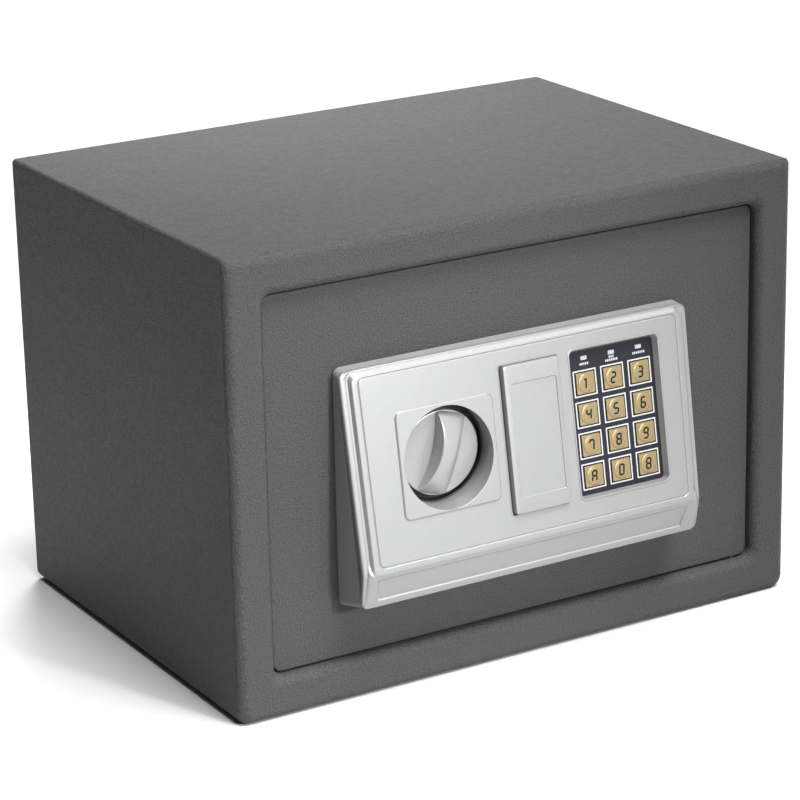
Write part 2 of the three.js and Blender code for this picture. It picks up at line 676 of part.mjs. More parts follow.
// The cells lie side by side, their ends pointing alternately right and left.
function batteryCell(index) {
  const { radius, nub, nubRadius } = CELL;
  const z = CELL.z + CELL.pitch * (index - 1.5);
  const y = BAY.front + 2 + radius;
  const start = CELL.x - CELL.length / 2;
  const end = CELL.x + CELL.length / 2;
  if (index % 2 === 0) {
    return rod('x', radius, start, end - nub, y, z, 24).add(rod('x', nubRadius, CELL.x, end, y, z, 16));
  }
  return rod('x', radius, start + nub, end, y, z, 24).add(rod('x', nubRadius, start, CELL.x, y, z, 16));
}

function resetButton() {
  const tip = rod('y', RESET.radius, COVER.back - 8, COVER.back + 1.6, RESET.x, RESET.z, 24);
  return tip.add(rod('y', 5.6, COVER.back - 6, COVER.back - COVER.wall - GAP, RESET.x, RESET.z, 24));
}

function resetSwitch() {
  const back = COVER.back - 10;
  return box(RESET.x - 6, RESET.x + 6, back - 8, back, RESET.z - 6, RESET.z + 6)
    .add(box(RESET.x - 9, RESET.x + 9, back - 9.6, back - 8, RESET.z - 9, RESET.z + 9));
}

// ---- Assembly -----------------------------------------------------------------------------------
addPart('body_wrap', bodyWrap(), 'powder');
addPart('back_panel', backPanel(), 'powder');
addPart('front_frame', frontFrame(), 'powder');
addPart('floor_mat', floorMat(), 'carpet');

addPart('door_plate', doorPlate(), 'powder');
addPart('hinge_pin_upper', hingePin(DOOR_TOP - HINGE.depth, DOOR_TOP + HINGE.reach), 'steel');
addPart('hinge_pin_lower', hingePin(DOOR_BOTTOM - HINGE.reach, DOOR_BOTTOM + HINGE.depth), 'steel');
addPart('hinge_block_upper', hingeBlock(DOOR_TOP - HINGE.depth, DOOR_TOP - 1), 'powder');
addPart('hinge_block_lower', hingeBlock(DOOR_BOTTOM + 1, DOOR_BOTTOM + HINGE.depth), 'powder');

addPart('console_base', consoleBase(), 'housing');
addPart('console_front', consoleFront(), 'silver');
addPart('key_cover', keyCover(), 'silver');
addPart('keypad_plate', keypadPlate(), 'label');
addPart('keypad_membrane', keypadSheet(5.3, 5.8), 'rubber');
addPart('circuit_board', keypadSheet(6, 7), 'board');
for (const place of keyPlaces()) addPart(`key_${place.name}`, keyButton(place), 'gold');
for (const place of ledPlaces()) addPart(`led_${place.name}`, ledPipe(place), 'lens');

addPart('turn_knob', turnKnob(), 'silver');
addPart('knob_shaft', knobShaft(), 'steel');
addPart('knob_cam', knobCam(), 'zinc');
addPart('lock_chassis', lockChassis(), 'zinc');
addPart('bolt_carriage', boltCarriage(), 'zinc');
addPart('bolt_lower', liveBolt(boltHeights()[0]), 'steel');
addPart('bolt_upper', liveBolt(boltHeights()[1]), 'steel');

addPart('override_lock', overrideLock(), 'brass');
addPart('override_plug', overridePlug(), 'brass');
addPart('override_cam', overrideCam(), 'zinc');
addPart('lock_nut', lockNut(), 'brass');

addPart('solenoid_body', solenoidBody(), 'black');
addPart('solenoid_plunger', solenoidPlunger(), 'steel');
addPart('plunger_spring', plungerSpring(), 'steel');

addPart('inner_cover', innerCover(), 'powder');
screwPlaces().forEach(([x, z], i) => addPart(`cover_screw_${i + 1}`, coverScrew(x, z), 'steel'));
addPart('battery_box', batteryBox(), 'black');
for (let i = 0; i < 4; i += 1) addPart(`battery_${i + 1}`, batteryCell(i), 'cell');
addPart('battery_cover', batteryCover(), 'black');
addPart('reset_button', resetButton(), 'red');
addPart('reset_switch', resetSwitch(), 'black');

export default safe;
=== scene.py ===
"""The looks of the in-room safe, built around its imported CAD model. Shapes here are worked out in
millimetres, X to the right, Z up and the front facing -Y, and become metres when a mesh is made."""
import math

import bmesh
import bpy
from mathutils import Matrix, Quaternion, Vector


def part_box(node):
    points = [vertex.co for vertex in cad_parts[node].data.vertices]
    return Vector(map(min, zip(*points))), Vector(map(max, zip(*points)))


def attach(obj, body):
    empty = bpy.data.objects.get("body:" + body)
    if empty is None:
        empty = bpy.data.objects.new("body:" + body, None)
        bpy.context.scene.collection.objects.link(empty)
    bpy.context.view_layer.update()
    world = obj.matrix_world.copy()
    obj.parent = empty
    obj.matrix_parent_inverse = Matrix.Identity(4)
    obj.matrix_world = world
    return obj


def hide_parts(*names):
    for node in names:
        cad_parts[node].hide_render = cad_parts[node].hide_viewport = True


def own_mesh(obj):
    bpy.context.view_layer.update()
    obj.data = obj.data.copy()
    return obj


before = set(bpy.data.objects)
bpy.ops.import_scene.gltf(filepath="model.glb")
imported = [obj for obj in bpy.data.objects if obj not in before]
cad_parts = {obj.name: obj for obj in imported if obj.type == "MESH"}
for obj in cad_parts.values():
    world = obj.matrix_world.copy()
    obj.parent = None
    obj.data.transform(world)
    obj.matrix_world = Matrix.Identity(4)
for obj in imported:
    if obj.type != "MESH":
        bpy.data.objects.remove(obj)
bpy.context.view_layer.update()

# ---- Driving dimensions, in millimetres ----------------------------------------------------------
MM = 0.001
WELD = 2e-6
CORNER_STEPS = 8
ROUND_SIDES = 72
SMOOTH_ANGLE = math.radians(32)


def node_box(name):
    """A CAD node's lowest and highest corner, in millimetres."""
    low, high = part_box(name)
    return low / MM, high / MM


WRAP_LOW, WRAP_HIGH = node_box("body_wrap")
FRAME_LOW, FRAME_HIGH = node_box("front_frame")
DOOR_LOW, DOOR_HIGH = node_box("door_plate")
FRONT = FRAME_LOW.y
HEIGHT = WRAP_HIGH.z
HALF = WRAP_HIGH.x
SHEET = 1.8
GAP = 0.3
BOTTOM_CORNER = 6
TOP_CORNER = 2.5
FRAME_EDGE = 5.5
FRAME_START = 205
FLANGE = 22
JAMB_ROUND = 5
OPENING_CORNER = 6
ANCHOR_RADIUS = 6
ANCHOR_X, ANCHOR_Y = 90, 20
HOUSING_WALL = 1.5
CUP_WALL = 1.2
SHAFT_HOLE = 4.5

# The console: a sloping face above a crease, and a short strip that turns back below it.
CONSOLE_LEFT, CONSOLE_RIGHT = -112.5, 101.7
CONSOLE_LOW, CONSOLE_HIGH = 51.8, 182.2
TOP_Y, TOP_Z = -126, 180.9
CREASE_Y, CREASE_Z = -143.2, 75
FOOT_Y, FOOT_Z = -140, 55.5
PLATEAU = 2
LEAN_LEFT, LEAN_RIGHT = 2.3, 1.5
CONSOLE_MIDDLE = (CONSOLE_LEFT + CONSOLE_RIGHT) / 2
TILT = math.atan2(TOP_Y - CREASE_Y, TOP_Z - CREASE_Z)

KNOB_X, KNOB_Z = -54.5, 127.7
KNOB_AXIS = (KNOB_X, 0, KNOB_Z)
KNOB_FACE = -128.3
KNOB_RADIUS = 23.2
KNOB_CUP = 27
KNOB_LEAN = math.radians(17)
KNOB_PLATE_X, KNOB_PLATE_H = 29.6, 28.9
CUP_BACK = DOOR_LOW.y - GAP - HOUSING_WALL - 2 * GAP
# From the console's slope, with the knob's height as its zero, to the safe's own frame.
SLOPE_Y = TOP_Y - (TOP_Z - KNOB_Z) * math.tan(TILT)
SLOPE = Matrix.Translation((0, SLOPE_Y, KNOB_Z)) @ Matrix.Rotation(-TILT, 4, "X")
LOCK_X, LOCK_Z = 0.3, 128.6
LOCK_AXIS = (LOCK_X, 0, LOCK_Z)
LOCK_RADIUS = 9.5
PLUG_RADIUS = 6

KEYPAD_LEFT, KEYPAD_RIGHT = 24.8, 81.6
KEYPAD_LOW, KEYPAD_HIGH = -40.8, 41.2
KEYPAD_FACE = 2
KEYPAD_SILL = KEYPAD_LOW + 1.5
KEY_X, KEY_H = 53.6, -3.3
KEY_PITCH_X, KEY_PITCH_H = 17.6, 16.85
KEY_WIDTH, KEY_HEIGHT = 11.6, 11.5
KEY_FACE = 1.3
KEY_ORDER = "123456789a0b"
LED_X, LED_H = 53.9, 35.5


# ---- Outlines ------------------------------------------------------------------------------------
def arc(across, up, radius, start, end, steps=CORNER_STEPS):
    points = []
    for i in range(steps + 1):
        angle = math.radians(start + (end - start) * i / steps)
        points.append((across + radius * math.cos(angle), up + radius * math.sin(angle)))
    return points


def circle(radius, sides):
    return arc(0, 0, radius, 0, 360 - 360 / sides, sides - 1)


def outline(x0, x1, z0, z1, low, high=None, steps=CORNER_STEPS):
    """A rectangle with rounded corners, as (x, z) points from its bottom right corner upwards."""
    high = low if high is None else high
    return [
        *arc(x1 - low, z0 + low, low, -90, 0, steps),
        *arc(x1 - high, z1 - high, high, 0, 90, steps),
        *arc(x0 + high, z1 - high, high, 90, 180, steps),
        *arc(x0 + low, z0 + low, low, 180, 270, steps),
    ]


def at(points, y):
    """An (x, z) outline stood up at one depth."""
    return [Vector((x, y, z)) for x, z in points]


def inset_ring(sides, inset, y, corner, steps=CORNER_STEPS):
    """A rounded rectangle moved in from its left, right, low and high sides, stood up at one depth."""
    left, right, low, high = sides
    shape = outline(left + inset, right - inset, low + inset, high - inset, corner, steps=steps)
    return at(shape, y)


# ---- Shapes: (points, faces) in millimetres ------------------------------------------------------
def loft(rings, joined=False, capped=True):
    """A skin over rings of equal count, closed by end caps or by joining the last ring to the first."""
    count = len(rings[0])
    faces = []
    for i in range(len(rings) if joined else len(rings) - 1):
        here, there = i * count, (i + 1) % len(rings) * count
        for j in range(count):
            k = (j + 1) % count
            faces.append((here + j, here + k, there + k, there + j))
    if capped and not joined:
        last = (len(rings) - 1) * count
        faces.append(tuple(range(count))[::-1])
        faces.append(tuple(range(last, last + count)))
    return [point for ring in rings for point in ring], faces


def moved(shape, matrix):
    points, faces = shape
    return [matrix @ point for point in points], faces


def merged(*shapes):
    """Several shapes as one."""
    points, faces = [], []
    for more_points, more_faces in shapes:
        start = len(points)
        points += more_points
        faces += [tuple(start + i for i in face) for face in more_faces]
    return points, faces


def slab(points, y0, y1):
    return loft([at(points, y0), at(points, y1)])


def block(x0, x1, y0, y1, z0, z1):
    return slab([(x1, z0), (x1, z1), (x0, z1), (x0, z0)], y0, y1)


AXES = {
    "x": Matrix(((0, 0, 1, 0), (1, 0, 0, 0), (0, 1, 0, 0), (0, 0, 0, 1))),
    "y": Matrix(((1, 0, 0, 0), (0, 0, 1, 0), (0, 1, 0, 0), (0, 0, 0, 1))),
    "z": Matrix.Identity(4),
}


def turned(profile, axis, centre, sides=ROUND_SIDES):
    """A turned solid: profile holds (radius, place along the axis), and starts and ends on the axis."""
    rings = []
    for radius, along in profile:
        ring = circle(radius, sides)
        rings.append([Vector((u, v, along)) for u, v in ring])
    return moved(loft(rings, capped=False), Matrix.Translation(centre) @ AXES[axis])


def rod(axis, radius, start, end, centre, sides=ROUND_SIDES, edge=0.0):
    profile = [(0, start), (radius - edge, start), (radius, start + edge)]
    profile += [(radius, end - edge), (radius - edge, end), (0, end)]
    return turned(profile, axis, centre, sides)


# ---- Meshes --------------------------------------------------------------------------------------
def mesh_object(name, shape):
    points, faces = shape
    mesh = bpy.data.meshes.new(name)
    mesh.from_pydata([point * MM for point in points], [], faces)
    work = bmesh.new()
    work.from_mesh(mesh)
    bmesh.ops.remove_doubles(work, verts=work.verts, dist=WELD)
    bmesh.ops.recalc_face_normals(work, faces=work.faces)
    work.to_mesh(mesh)
    work.free()
    made = bpy.data.objects.new(name, mesh)
    bpy.context.scene.collection.objects.link(made)
    return made


def apply_modifiers(made):
    bpy.context.view_layer.update()
    result = made.evaluated_get(bpy.context.evaluated_depsgraph_get())
    made.data = bpy.data.meshes.new_from_object(result)
    made.data.name = made.name
    made.modifiers.clear()


def round_edges(made, width, angle=35, segments=2):
    """A bevel on the edges that turn by more than the angle, in millimetres and degrees."""
    bevel = made.modifiers.new("soft_edges", "BEVEL")
    bevel.width = width * MM
    bevel.segments = segments
    bevel.limit_method = "ANGLE"
    bevel.angle_limit = math.radians(angle)
    bevel.use_clamp_overlap = False
    bevel.harden_normals = False
    return bevel


def clipped(shape, bound):
    """The part of a shape that lies inside another one."""
    inside, limit = mesh_object("inside", shape), mesh_object("limit", bound)
    clip = inside.modifiers.new("clip", "BOOLEAN")
    clip.operation = "INTERSECT"
    clip.object = limit
    apply_modifiers(inside)
    points = [vertex.co / MM for vertex in inside.data.vertices]
    faces = [tuple(polygon.vertices) for polygon in inside.data.polygons]
    bpy.data.objects.remove(inside)
    bpy.data.objects.remove(limit)
    return points, faces


def shade(made):
    """Smooth shading that stops at edges and keeps large faces flat."""
    made.data.shade_smooth()
    made.data.set_sharp_from_angle(angle=SMOOTH_ANGLE)
    even = made.modifiers.new("even_normals", "WEIGHTED_NORMAL")
    even.keep_sharp = True
    even.weight = 100


def piece(name, shape, body, slot, replaces=(), adds=(), cuts=(), edge=0.0, angle=35):
    """One visible piece: its shape with others joined on and cut away, edges rounded, riding a body."""
    made = mesh_object(name, shape)
    tools = []
    for operation, shapes in (("UNION", adds), ("DIFFERENCE", cuts)):
        for tool_shape in shapes:
            tool = mesh_object("tool", tool_shape)
            cut = made.modifiers.new("join_or_cut", "BOOLEAN")
            cut.operation = operation
            cut.solver = "EXACT"
            cut.object = tool
            tools.append(tool)
    if edge:
        round_edges(made, edge, angle)
    if made.modifiers:
        apply_modifiers(made)
    for tool in tools:
        bpy.data.objects.remove(tool)
    shade(made)
    made.data.materials.clear()
    made.data.materials.append(MATERIALS[slot])
    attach(made, body)
    if replaces:
        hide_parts(*replaces)
    return made


# ---- Materials -----------------------------------------------------------------------------------
class Shader:
    """A material under construction: a Principled surface, with textures placed in metres."""

    def __init__(self, name, roughness, metallic=0.0):
        self.material = bpy.data.materials.new(name)
        self.material.use_nodes = True
        self.nodes = self.material.node_tree.nodes
        self.links = self.material.node_tree.links
        self.surface = self.nodes["Principled BSDF"]
        self.surface.inputs["Metallic"].default_value = metallic
        self.surface.inputs["Roughness"].default_value = roughness
        self.place = self.nodes.new("ShaderNodeTexCoord").outputs["Object"]
        self.normal = None

    def add(self, kind, **inputs):
        """A new node with each input set or linked. An underscore stands for a space in its name."""
        node = self.nodes.new("ShaderNode" + kind)
        for name, value in inputs.items():
            socket = node.inputs[name.replace("_", " ")]
            if isinstance(value, bpy.types.NodeSocket):
                self.links.new(value, socket)
            else:
                socket.default_value = value
        return node

    def noise(self, scale, detail=2.0, roughness=0.5, stretch=None):
        place = self.place
        if stretch:
            place = self.add("Mapping", Vector=place, Scale=stretch).outputs["Vector"]
        texture = self.add("TexNoise", Vector=place, Scale=scale, Detail=detail, Roughness=roughness)
        return texture.outputs["Fac"]

    def cells(self, scale, feature="F1"):
        texture = self.add("TexVoronoi", Vector=self.place, Scale=scale)
        texture.feature = feature
        return texture.outputs["Distance"]

    def ramp(self, value, *stops):
        """Turns a value into a colour through (place, colour) stops."""
        node = self.add("ValToRGB", Fac=value)
        elements = node.color_ramp.elements
        while len(elements) < len(stops):
            elements.new(1.0)
        for element, (place, colour) in zip(elements, stops):
            element.position = place
            element.color = (*colour, 1.0)
        return node.outputs["Color"]

    def span(self, value, low, high):
        """Maps a noise value from its usual 0.3..0.7 to low..high."""
        node = self.add("MapRange", Value=value, From_Min=0.3, From_Max=0.7, To_Min=low, To_Max=high)
        return node.outputs["Result"]

    def blend(self, share, first, second):
        node = self.nodes.new("ShaderNodeMix")
        node.data_type = "RGBA"
        self.links.new(share, node.inputs["Factor"])
        for socket, colour in ((node.inputs["A"], first), (node.inputs["B"], second)):
            if isinstance(colour, bpy.types.NodeSocket):
                self.links.new(colour, socket)
            else:
                socket.default_value = (*colour, 1.0)
        return node.outputs["Result"]

    def tint(self, colour):
        self.links.new(colour, self.surface.inputs["Base Color"])

    def shine(self, roughness):
        self.links.new(roughness, self.surface.inputs["Roughness"])

    def dull(self, specular):
        """Lowers the plain surface reflection below the usual 0.5."""
        self.surface.inputs["Specular IOR Level"].default_value = specular

    def bump(self, height, depth, strength=1.0):
        """Adds relief of that depth in millimetres on top of any that is already there."""
        node = self.add("Bump", Height=height, Strength=strength, Distance=depth * MM)
        if self.normal:
            self.links.new(self.normal, node.inputs["Normal"])
        self.normal = node.outputs["Normal"]
        self.links.new(self.normal, self.surface.inputs["Normal"])


def shades(colour, low, high):
    """Two brightnesses of one colour."""
    return tuple(c * low for c in colour), tuple(c * high for c in colour)


def powder_coat():
    shader = Shader("powder_coat", 0.45)
    shader.dull(0.12)
    grain = shader.noise(1000, 2.2, 0.65)
    dark, light = shades((0.0635, 0.064, 0.0648), 0.2, 1.8)
    shader.tint(shader.blend(grain, dark, light))
    shader.shine(shader.span(shader.noise(330, 1), 0.4, 0.52))
    shader.bump(grain, 1.0)
    shader.bump(shader.noise(2300, 2, 0.6), 0.04, 0.8)
    return shader.material


def silver_paint(name, bright, satin):
    """Fine metallic paint of that brightness. Its roughness starts at the satin value."""
    shader = Shader(name, 0.4, 0.45)
    flake = shader.noise(2400, 2, 0.7)
    dark, light = shades((0.3, 0.302, 0.305), 0.8 * bright, 1.2 * bright)
    shader.tint(shader.blend(flake, dark, light))
    shader.shine(shader.span(shader.noise(900, 2), satin, satin + 0.09))
    shader.bump(shader.noise(1500, 3, 0.6), 0.03, 0.5)
    return shader.material


def moulded(name, colour, roughness, grain=0.05, specular=0.5):
    """Moulded plastic: spark-eroded grain and a slightly uneven shine."""
    shader = Shader(name, roughness)
    shader.dull(specular)
    dark, light = shades(colour, 0.9, 1.1)
    shader.tint(shader.blend(shader.noise(60, 3), dark, light))
    shader.shine(shader.span(shader.noise(400, 2), roughness - 0.06, roughness + 0.06))
    shader.bump(shader.noise(1800, 3, 0.6), grain, 0.7)
    return shader.material


def gold_key():
    shader = Shader("gold_key", 0.34, 0.35)
    dark, light = shades((0.29, 0.222, 0.112), 0.86, 1.1)
    shader.tint(shader.blend(shader.noise(2600, 3, 0.7), dark, light))
    shader.shine(shader.span(shader.noise(700, 2), 0.3, 0.4))
    shader.bump(shader.noise(2200, 2), 0.015, 0.5)
    shader.surface.inputs["Coat Weight"].default_value = 0.15
    return shader.material


def lens():
    shader = Shader("lens", 0.3)
    shader.tint(shader.blend(shader.noise(700, 2), (0.4, 0.4, 0.41), (0.46, 0.465, 0.47)))
    shader.bump(shader.noise(1500, 1), 0.02, 0.5)
    shader.surface.inputs["Coat Weight"].default_value = 0.5
    return shader.material


def metal(name, colour, roughness, stretch=(1, 1, 1), scale=900):
    """Metal with fine tool or brush marks, long along the axis whose stretch is small."""
    shader = Shader(name, roughness, 1.0)
    marks = shader.noise(scale, 3, 0.6, stretch)
    dark, light = shades(colour, 0.86, 1.08)
    shader.tint(shader.blend(marks, dark, light))
    shader.shine(shader.span(marks, roughness - 0.08, roughness + 0.1))
    shader.bump(marks, 0.012, 0.6)
    return shader.material


def zinc():
    """Bright zinc plate: faint spangle and a yellowish passivate."""
    shader = Shader("zinc", 0.4, 0.9)
    spangle = shader.cells(210)
    tone = shader.ramp(spangle, (0.15, (0.44, 0.45, 0.44)), (0.5, (0.52, 0.52, 0.48)),
                       (0.8, (0.4, 0.42, 0.43)))
    shader.tint(tone)
    shader.shine(shader.span(shader.noise(120, 3), 0.32, 0.5))
    shader.bump(shader.noise(1300, 2), 0.02, 0.5)
    return shader.material


def circuit_board():
    shader = Shader("circuit_board", 0.35)
    borders = shader.cells(260, "DISTANCE_TO_EDGE")
    tracks = shader.ramp(borders, (0.04, (0.05, 0.2, 0.08)), (0.07, (0.015, 0.09, 0.035)))
    shader.tint(tracks)
    shader.shine(shader.span(shader.noise(300, 2), 0.28, 0.4))
    shader.bump(shader.noise(500, 2), 0.03, 0.5)
    return shader.material


def carpet():
    shader = Shader("carpet", 0.95)
    fibres = shader.noise(2400, 4, 0.75)
    tufts = shader.noise(420, 3, 0.6)
    fleck = shader.blend(tufts, (0.03, 0.031, 0.034), (0.075, 0.077, 0.083))
    shader.tint(shader.blend(fibres, fleck, (0.12, 0.123, 0.13)))
    shader.bump(tufts, 0.8, 0.8)
    shader.bump(fibres, 0.25, 0.8)
    shader.surface.inputs["Sheen Weight"].default_value = 0.35
    shader.surface.inputs["Sheen Roughness"].default_value = 0.5
    return shader.material


def cell_wrap():
    """A dry cell's printed sleeve: bands along the cell, under a clear gloss."""
    shader = Shader("cell_wrap", 0.3, 0.25)
    cell_start, cell_end = 0.046, 0.096
    silver, blue, pale = (0.5, 0.51, 0.52), (0.03, 0.08, 0.25), (0.6, 0.62, 0.64)
    place = shader.add("SeparateXYZ", Vector=shader.place)
    along = shader.add("MapRange", Value=place.outputs["X"], From_Min=cell_start, From_Max=cell_end)
    tone = shader.ramp(along.outputs["Result"], (0.0, silver), (0.07, blue), (0.7, blue), (0.72, pale))
    shader.tint(shader.blend(shader.noise(300, 2), tone, (0.03, 0.08, 0.22)))
    shader.bump(shader.noise(500, 2), 0.02, 0.4)
    shader.surface.inputs["Coat Weight"].default_value = 0.4
    return shader.material


def printed(name, colour):
    """Screen-printed ink: slightly mottled, with a low satin film."""
    shader = Shader(name, 0.5)
    shader.dull(0.15)
    dark, light = shades(colour, 0.92, 1.05)
    shader.tint(shader.blend(shader.noise(1800, 3), dark, light))
    shader.shine(shader.span(shader.noise(900, 2), 0.42, 0.55))
    shader.bump(shader.noise(2500, 2), 0.01, 0.4)
    return shader.material


MATERIALS = {
    "powder_coat": powder_coat(),
    "silver_paint": silver_paint("silver_paint", 1.0, 0.36),
    "housing_grey": moulded("housing_grey", (0.19, 0.1908, 0.1935), 0.5),
    "keypad_label": moulded("keypad_label", (0.014, 0.0145, 0.021), 0.5, 0.02, 0.2),
    "gold_key": gold_key(),
    "lens": lens(),
    "steel": metal("steel", (0.6, 0.605, 0.61), 0.26, (0.08, 1, 1)),
    "zinc": zinc(),
    "brass": metal("brass", (0.62, 0.45, 0.17), 0.3, (1, 0.1, 1)),
    "black_plastic": moulded("black_plastic", (0.016, 0.016, 0.017), 0.48),
    "circuit_board": circuit_board(),
    "rubber": moulded("rubber", (0.045, 0.045, 0.047), 0.75),
    "red_plastic": moulded("red_plastic", (0.45, 0.025, 0.02), 0.32, 0.02),
    "cell_wrap": cell_wrap(),
    "carpet": carpet(),
}
# A copy of the silver paint for the knob alone. Its lower roughness is a glossier finish, and its brighter
# colour is painted light for the knob's stronger highlight.
KNOB_SILVER_LIT = silver_paint("knob_silver_lit", 1.17, 0.3)
WHITE_INK = printed("white_ink", (0.5, 0.505, 0.515))
# Black ink for the keys' figures; the same black also paints the shade of the gaps round the keys.
BLACK_INK_AND_SHADE = printed("black_ink_and_shade", (0.006, 0.006, 0.007))


# ---- Cabinet -------------------------------------------------------------------------------------
def cabinet_outline(inset):
    low, high = BOTTOM_CORNER - inset, max(TOP_CORNER - inset, 0.7)
    return outline(inset - HALF, HALF - inset, inset, HEIGHT - inset, low, high)


def build_wrap():
    front, back = WRAP_LOW.y, WRAP_HIGH.y
    lip = 0.4
    rings = [
        at(cabinet_outline(lip), front),
        at(cabinet_outline(0), front + lip),
        at(cabinet_outline(0), back - lip),
        at(cabinet_outline(lip), back),
        at(cabinet_outline(SHEET), back),
        at(cabinet_outline(SHEET), front),
    ]
    holes = [rod("z", ANCHOR_RADIUS, -2, SHEET + 2, (x, ANCHOR_Y, 0)) for x in (-ANCHOR_X, ANCHOR_X)]
    return piece("cabinet_wrap", loft(rings, joined=True), "cabinet", "powder_coat", ["body_wrap"],
                 cuts=holes)


def frame_ring(inset, y):
    """The cabinet's outline moved in, its corners changing from the outer ones to the doorway's."""
    share = inset / FLANGE
    low = BOTTOM_CORNER + (OPENING_CORNER - BOTTOM_CORNER) * share
    high = TOP_CORNER + (OPENING_CORNER - TOP_CORNER) * share
    return at(outline(inset - HALF, HALF - inset, inset, HEIGHT - inset, low, high), y)


def build_frame():
    edge, jamb, back = FRONT + FRAME_EDGE, FLANGE - JAMB_ROUND, FRAME_HIGH.y
    turn = 0.25 - FRAME_EDGE * math.cos(math.radians(FRAME_START))
    section = [
        *arc(turn, edge, FRAME_EDGE, FRAME_START, 270, 8),
        *arc(jamb, FRONT + JAMB_ROUND, JAMB_ROUND, 270, 360, 10),
        (FLANGE, back),
        (FLANGE - SHEET, back),
        *arc(jamb, FRONT + JAMB_ROUND, JAMB_ROUND - SHEET, 360, 270, 4),
        *arc(turn, edge, FRAME_EDGE - SHEET, 270, FRAME_START, 4),
    ]
    rings = [frame_ring(inset, y) for inset, y in section]
    jamb_x, bolt_hole = FLANGE - HALF, BOLT_RADIUS + 0.8
    cuts = [rod("x", bolt_hole, jamb_x - 4, jamb_x + 1, (0, BOLT_Y, z), 48) for z in BOLT_HEIGHTS]
    for z in (FLANGE - 1, HEIGHT - FLANGE + 1):
        cuts.append(rod("z", HINGE_RADIUS + GAP, z - 3, z + 3, HINGE_AXIS, 40))
    return piece("door_frame", loft(rings, joined=True), "cabinet", "powder_coat", ["front_frame"],
                 cuts=cuts)


def build_mat():
    """Needle-punched carpet: a thin slab with a soft edge and two fixing holes, slightly uneven on top.
    It also returns the mat's flat size and area in metres."""
    low, high = node_box("floor_mat")
    corner, edge, longest = 4, 0.8, 7
    sag, sag_depth = 0.25, 0.5
    levels = ((0.3, low.z), (0, low.z + edge), (0, high.z - edge), (edge, high.z - 0.2),
              (2 * edge, high.z))
    rings = []
    for inset, z in levels:
        ring = outline(low.x + inset, high.x - inset, low.y + inset, high.y - inset, corner)
        rings.append([Vector((x, y, z)) for x, y in ring])
    hole = ANCHOR_RADIUS + 1
    holes = [rod("z", hole, -2, high.z + 4, (x, ANCHOR_Y, 0), 48) for x in (-ANCHOR_X, ANCHOR_X)]
    mat = piece("carpet_mat", loft(rings), "cabinet", "carpet", ["floor_mat"], cuts=holes)
    work = bmesh.new()
    work.from_mesh(mat.data)
    bmesh.ops.triangulate(work, faces=work.faces)
    for _ in range(5):
        long_edges = [e for e in work.edges if e.calc_length() > longest * MM]
        if long_edges:
            bmesh.ops.subdivide_edges(work, edges=long_edges, cuts=1)
            bmesh.ops.triangulate(work, faces=work.faces)
    for vertex in work.verts:
        if vertex.co.z > (high.z - sag_depth) * MM:
            x, y = vertex.co.x / MM, vertex.co.y / MM
            vertex.co.z += sag * MM * (math.sin(x / 23 + y / 41) * math.cos(y / 17) - 1)
    work.to_mesh(mat.data)
    work.free()
    size = (high - low) * MM
    holes_area = 2 * math.pi * (hole * MM) ** 2
    return mat, (size.x, size.y), size.x * size.y - holes_area


# ---- Door ----------------------------------------------------------------------------------------
HINGE_LOW, HINGE_HIGH = node_box("hinge_pin_lower")
HINGE_AXIS = ((HINGE_LOW.x + HINGE_HIGH.x) / 2, (HINGE_LOW.y + HINGE_HIGH.y) / 2, 0)
HINGE_RADIUS = 2.5
HINGE_DEPTH = 22
BOLT_RADIUS = 8
BOLT_Y = FRONT + 27
BOLT_HEIGHTS = (KNOB_Z - 40, KNOB_Z + 40)


def build_door():
    chamfer, corner, hinge_in = 0.8, 4.8, 10
    (left, front, bottom), (right, back, top) = DOOR_LOW, DOOR_HIGH
    rings = []
    for inset, y in ((chamfer, front), (0.25, front + 0.25), (0, front + chamfer), (0, back)):
        rings.append(inset_ring((left, right, bottom, top), inset, y, corner - inset))
    holes = [
        rod("y", SHAFT_HOLE, front - 1, back + 1, KNOB_AXIS, 40),
        rod("y", LOCK_RADIUS + GAP, front - 1, back + 1, LOCK_AXIS, 48),
    ]
    for z in (bottom + hinge_in, top - hinge_in):
        low, high = z - HINGE_DEPTH, z + HINGE_DEPTH
        holes.append(rod("z", HINGE_RADIUS + GAP, low, high, HINGE_AXIS, 40))
    return piece("door_panel", loft(rings), "door", "powder_coat", ["door_plate"], cuts=holes)


def build_hinge_pins():
    for side in ("upper", "lower"):
        low, high = node_box(f"hinge_pin_{side}")
        pin = rod("z", HINGE_RADIUS, low.z, high.z, HINGE_AXIS, 40, 0.6)
        piece(f"pin_{side}", pin, "door", "steel", [f"hinge_pin_{side}"])


# ---- Console -------------------------------------------------------------------------------------
CREASE_SOFT = 1.4
CREASE_SIDE = (-1.4, -0.7, 0.0, 0.7, 1.4)


def rim_y(z):
    """How far forward the console's front stands at a height, with the crease eased."""
    slope = TOP_Y - (TOP_Z - z) * math.tan(TILT)
    strip = CREASE_Y + (CREASE_Z - z) * (FOOT_Y - CREASE_Y) / (CREASE_Z - FOOT_Z)
    off = z - CREASE_Z
    if abs(off) >= CREASE_SOFT:
        return slope if off > 0 else strip
    share = (off + CREASE_SOFT) / (2 * CREASE_SOFT)
    return strip * (1 - share) + slope * share + 0.12 * CREASE_SOFT * share * (1 - share)


def leaned(x, z):
    """The console's sides draw in a little towards its foot, so its face is widest at the top."""
    down = (TOP_Z - z) / (TOP_Z - FOOT_Z)
    return x + (LEAN_LEFT * down if x < CONSOLE_MIDDLE else LEAN_RIGHT * (1 - down))


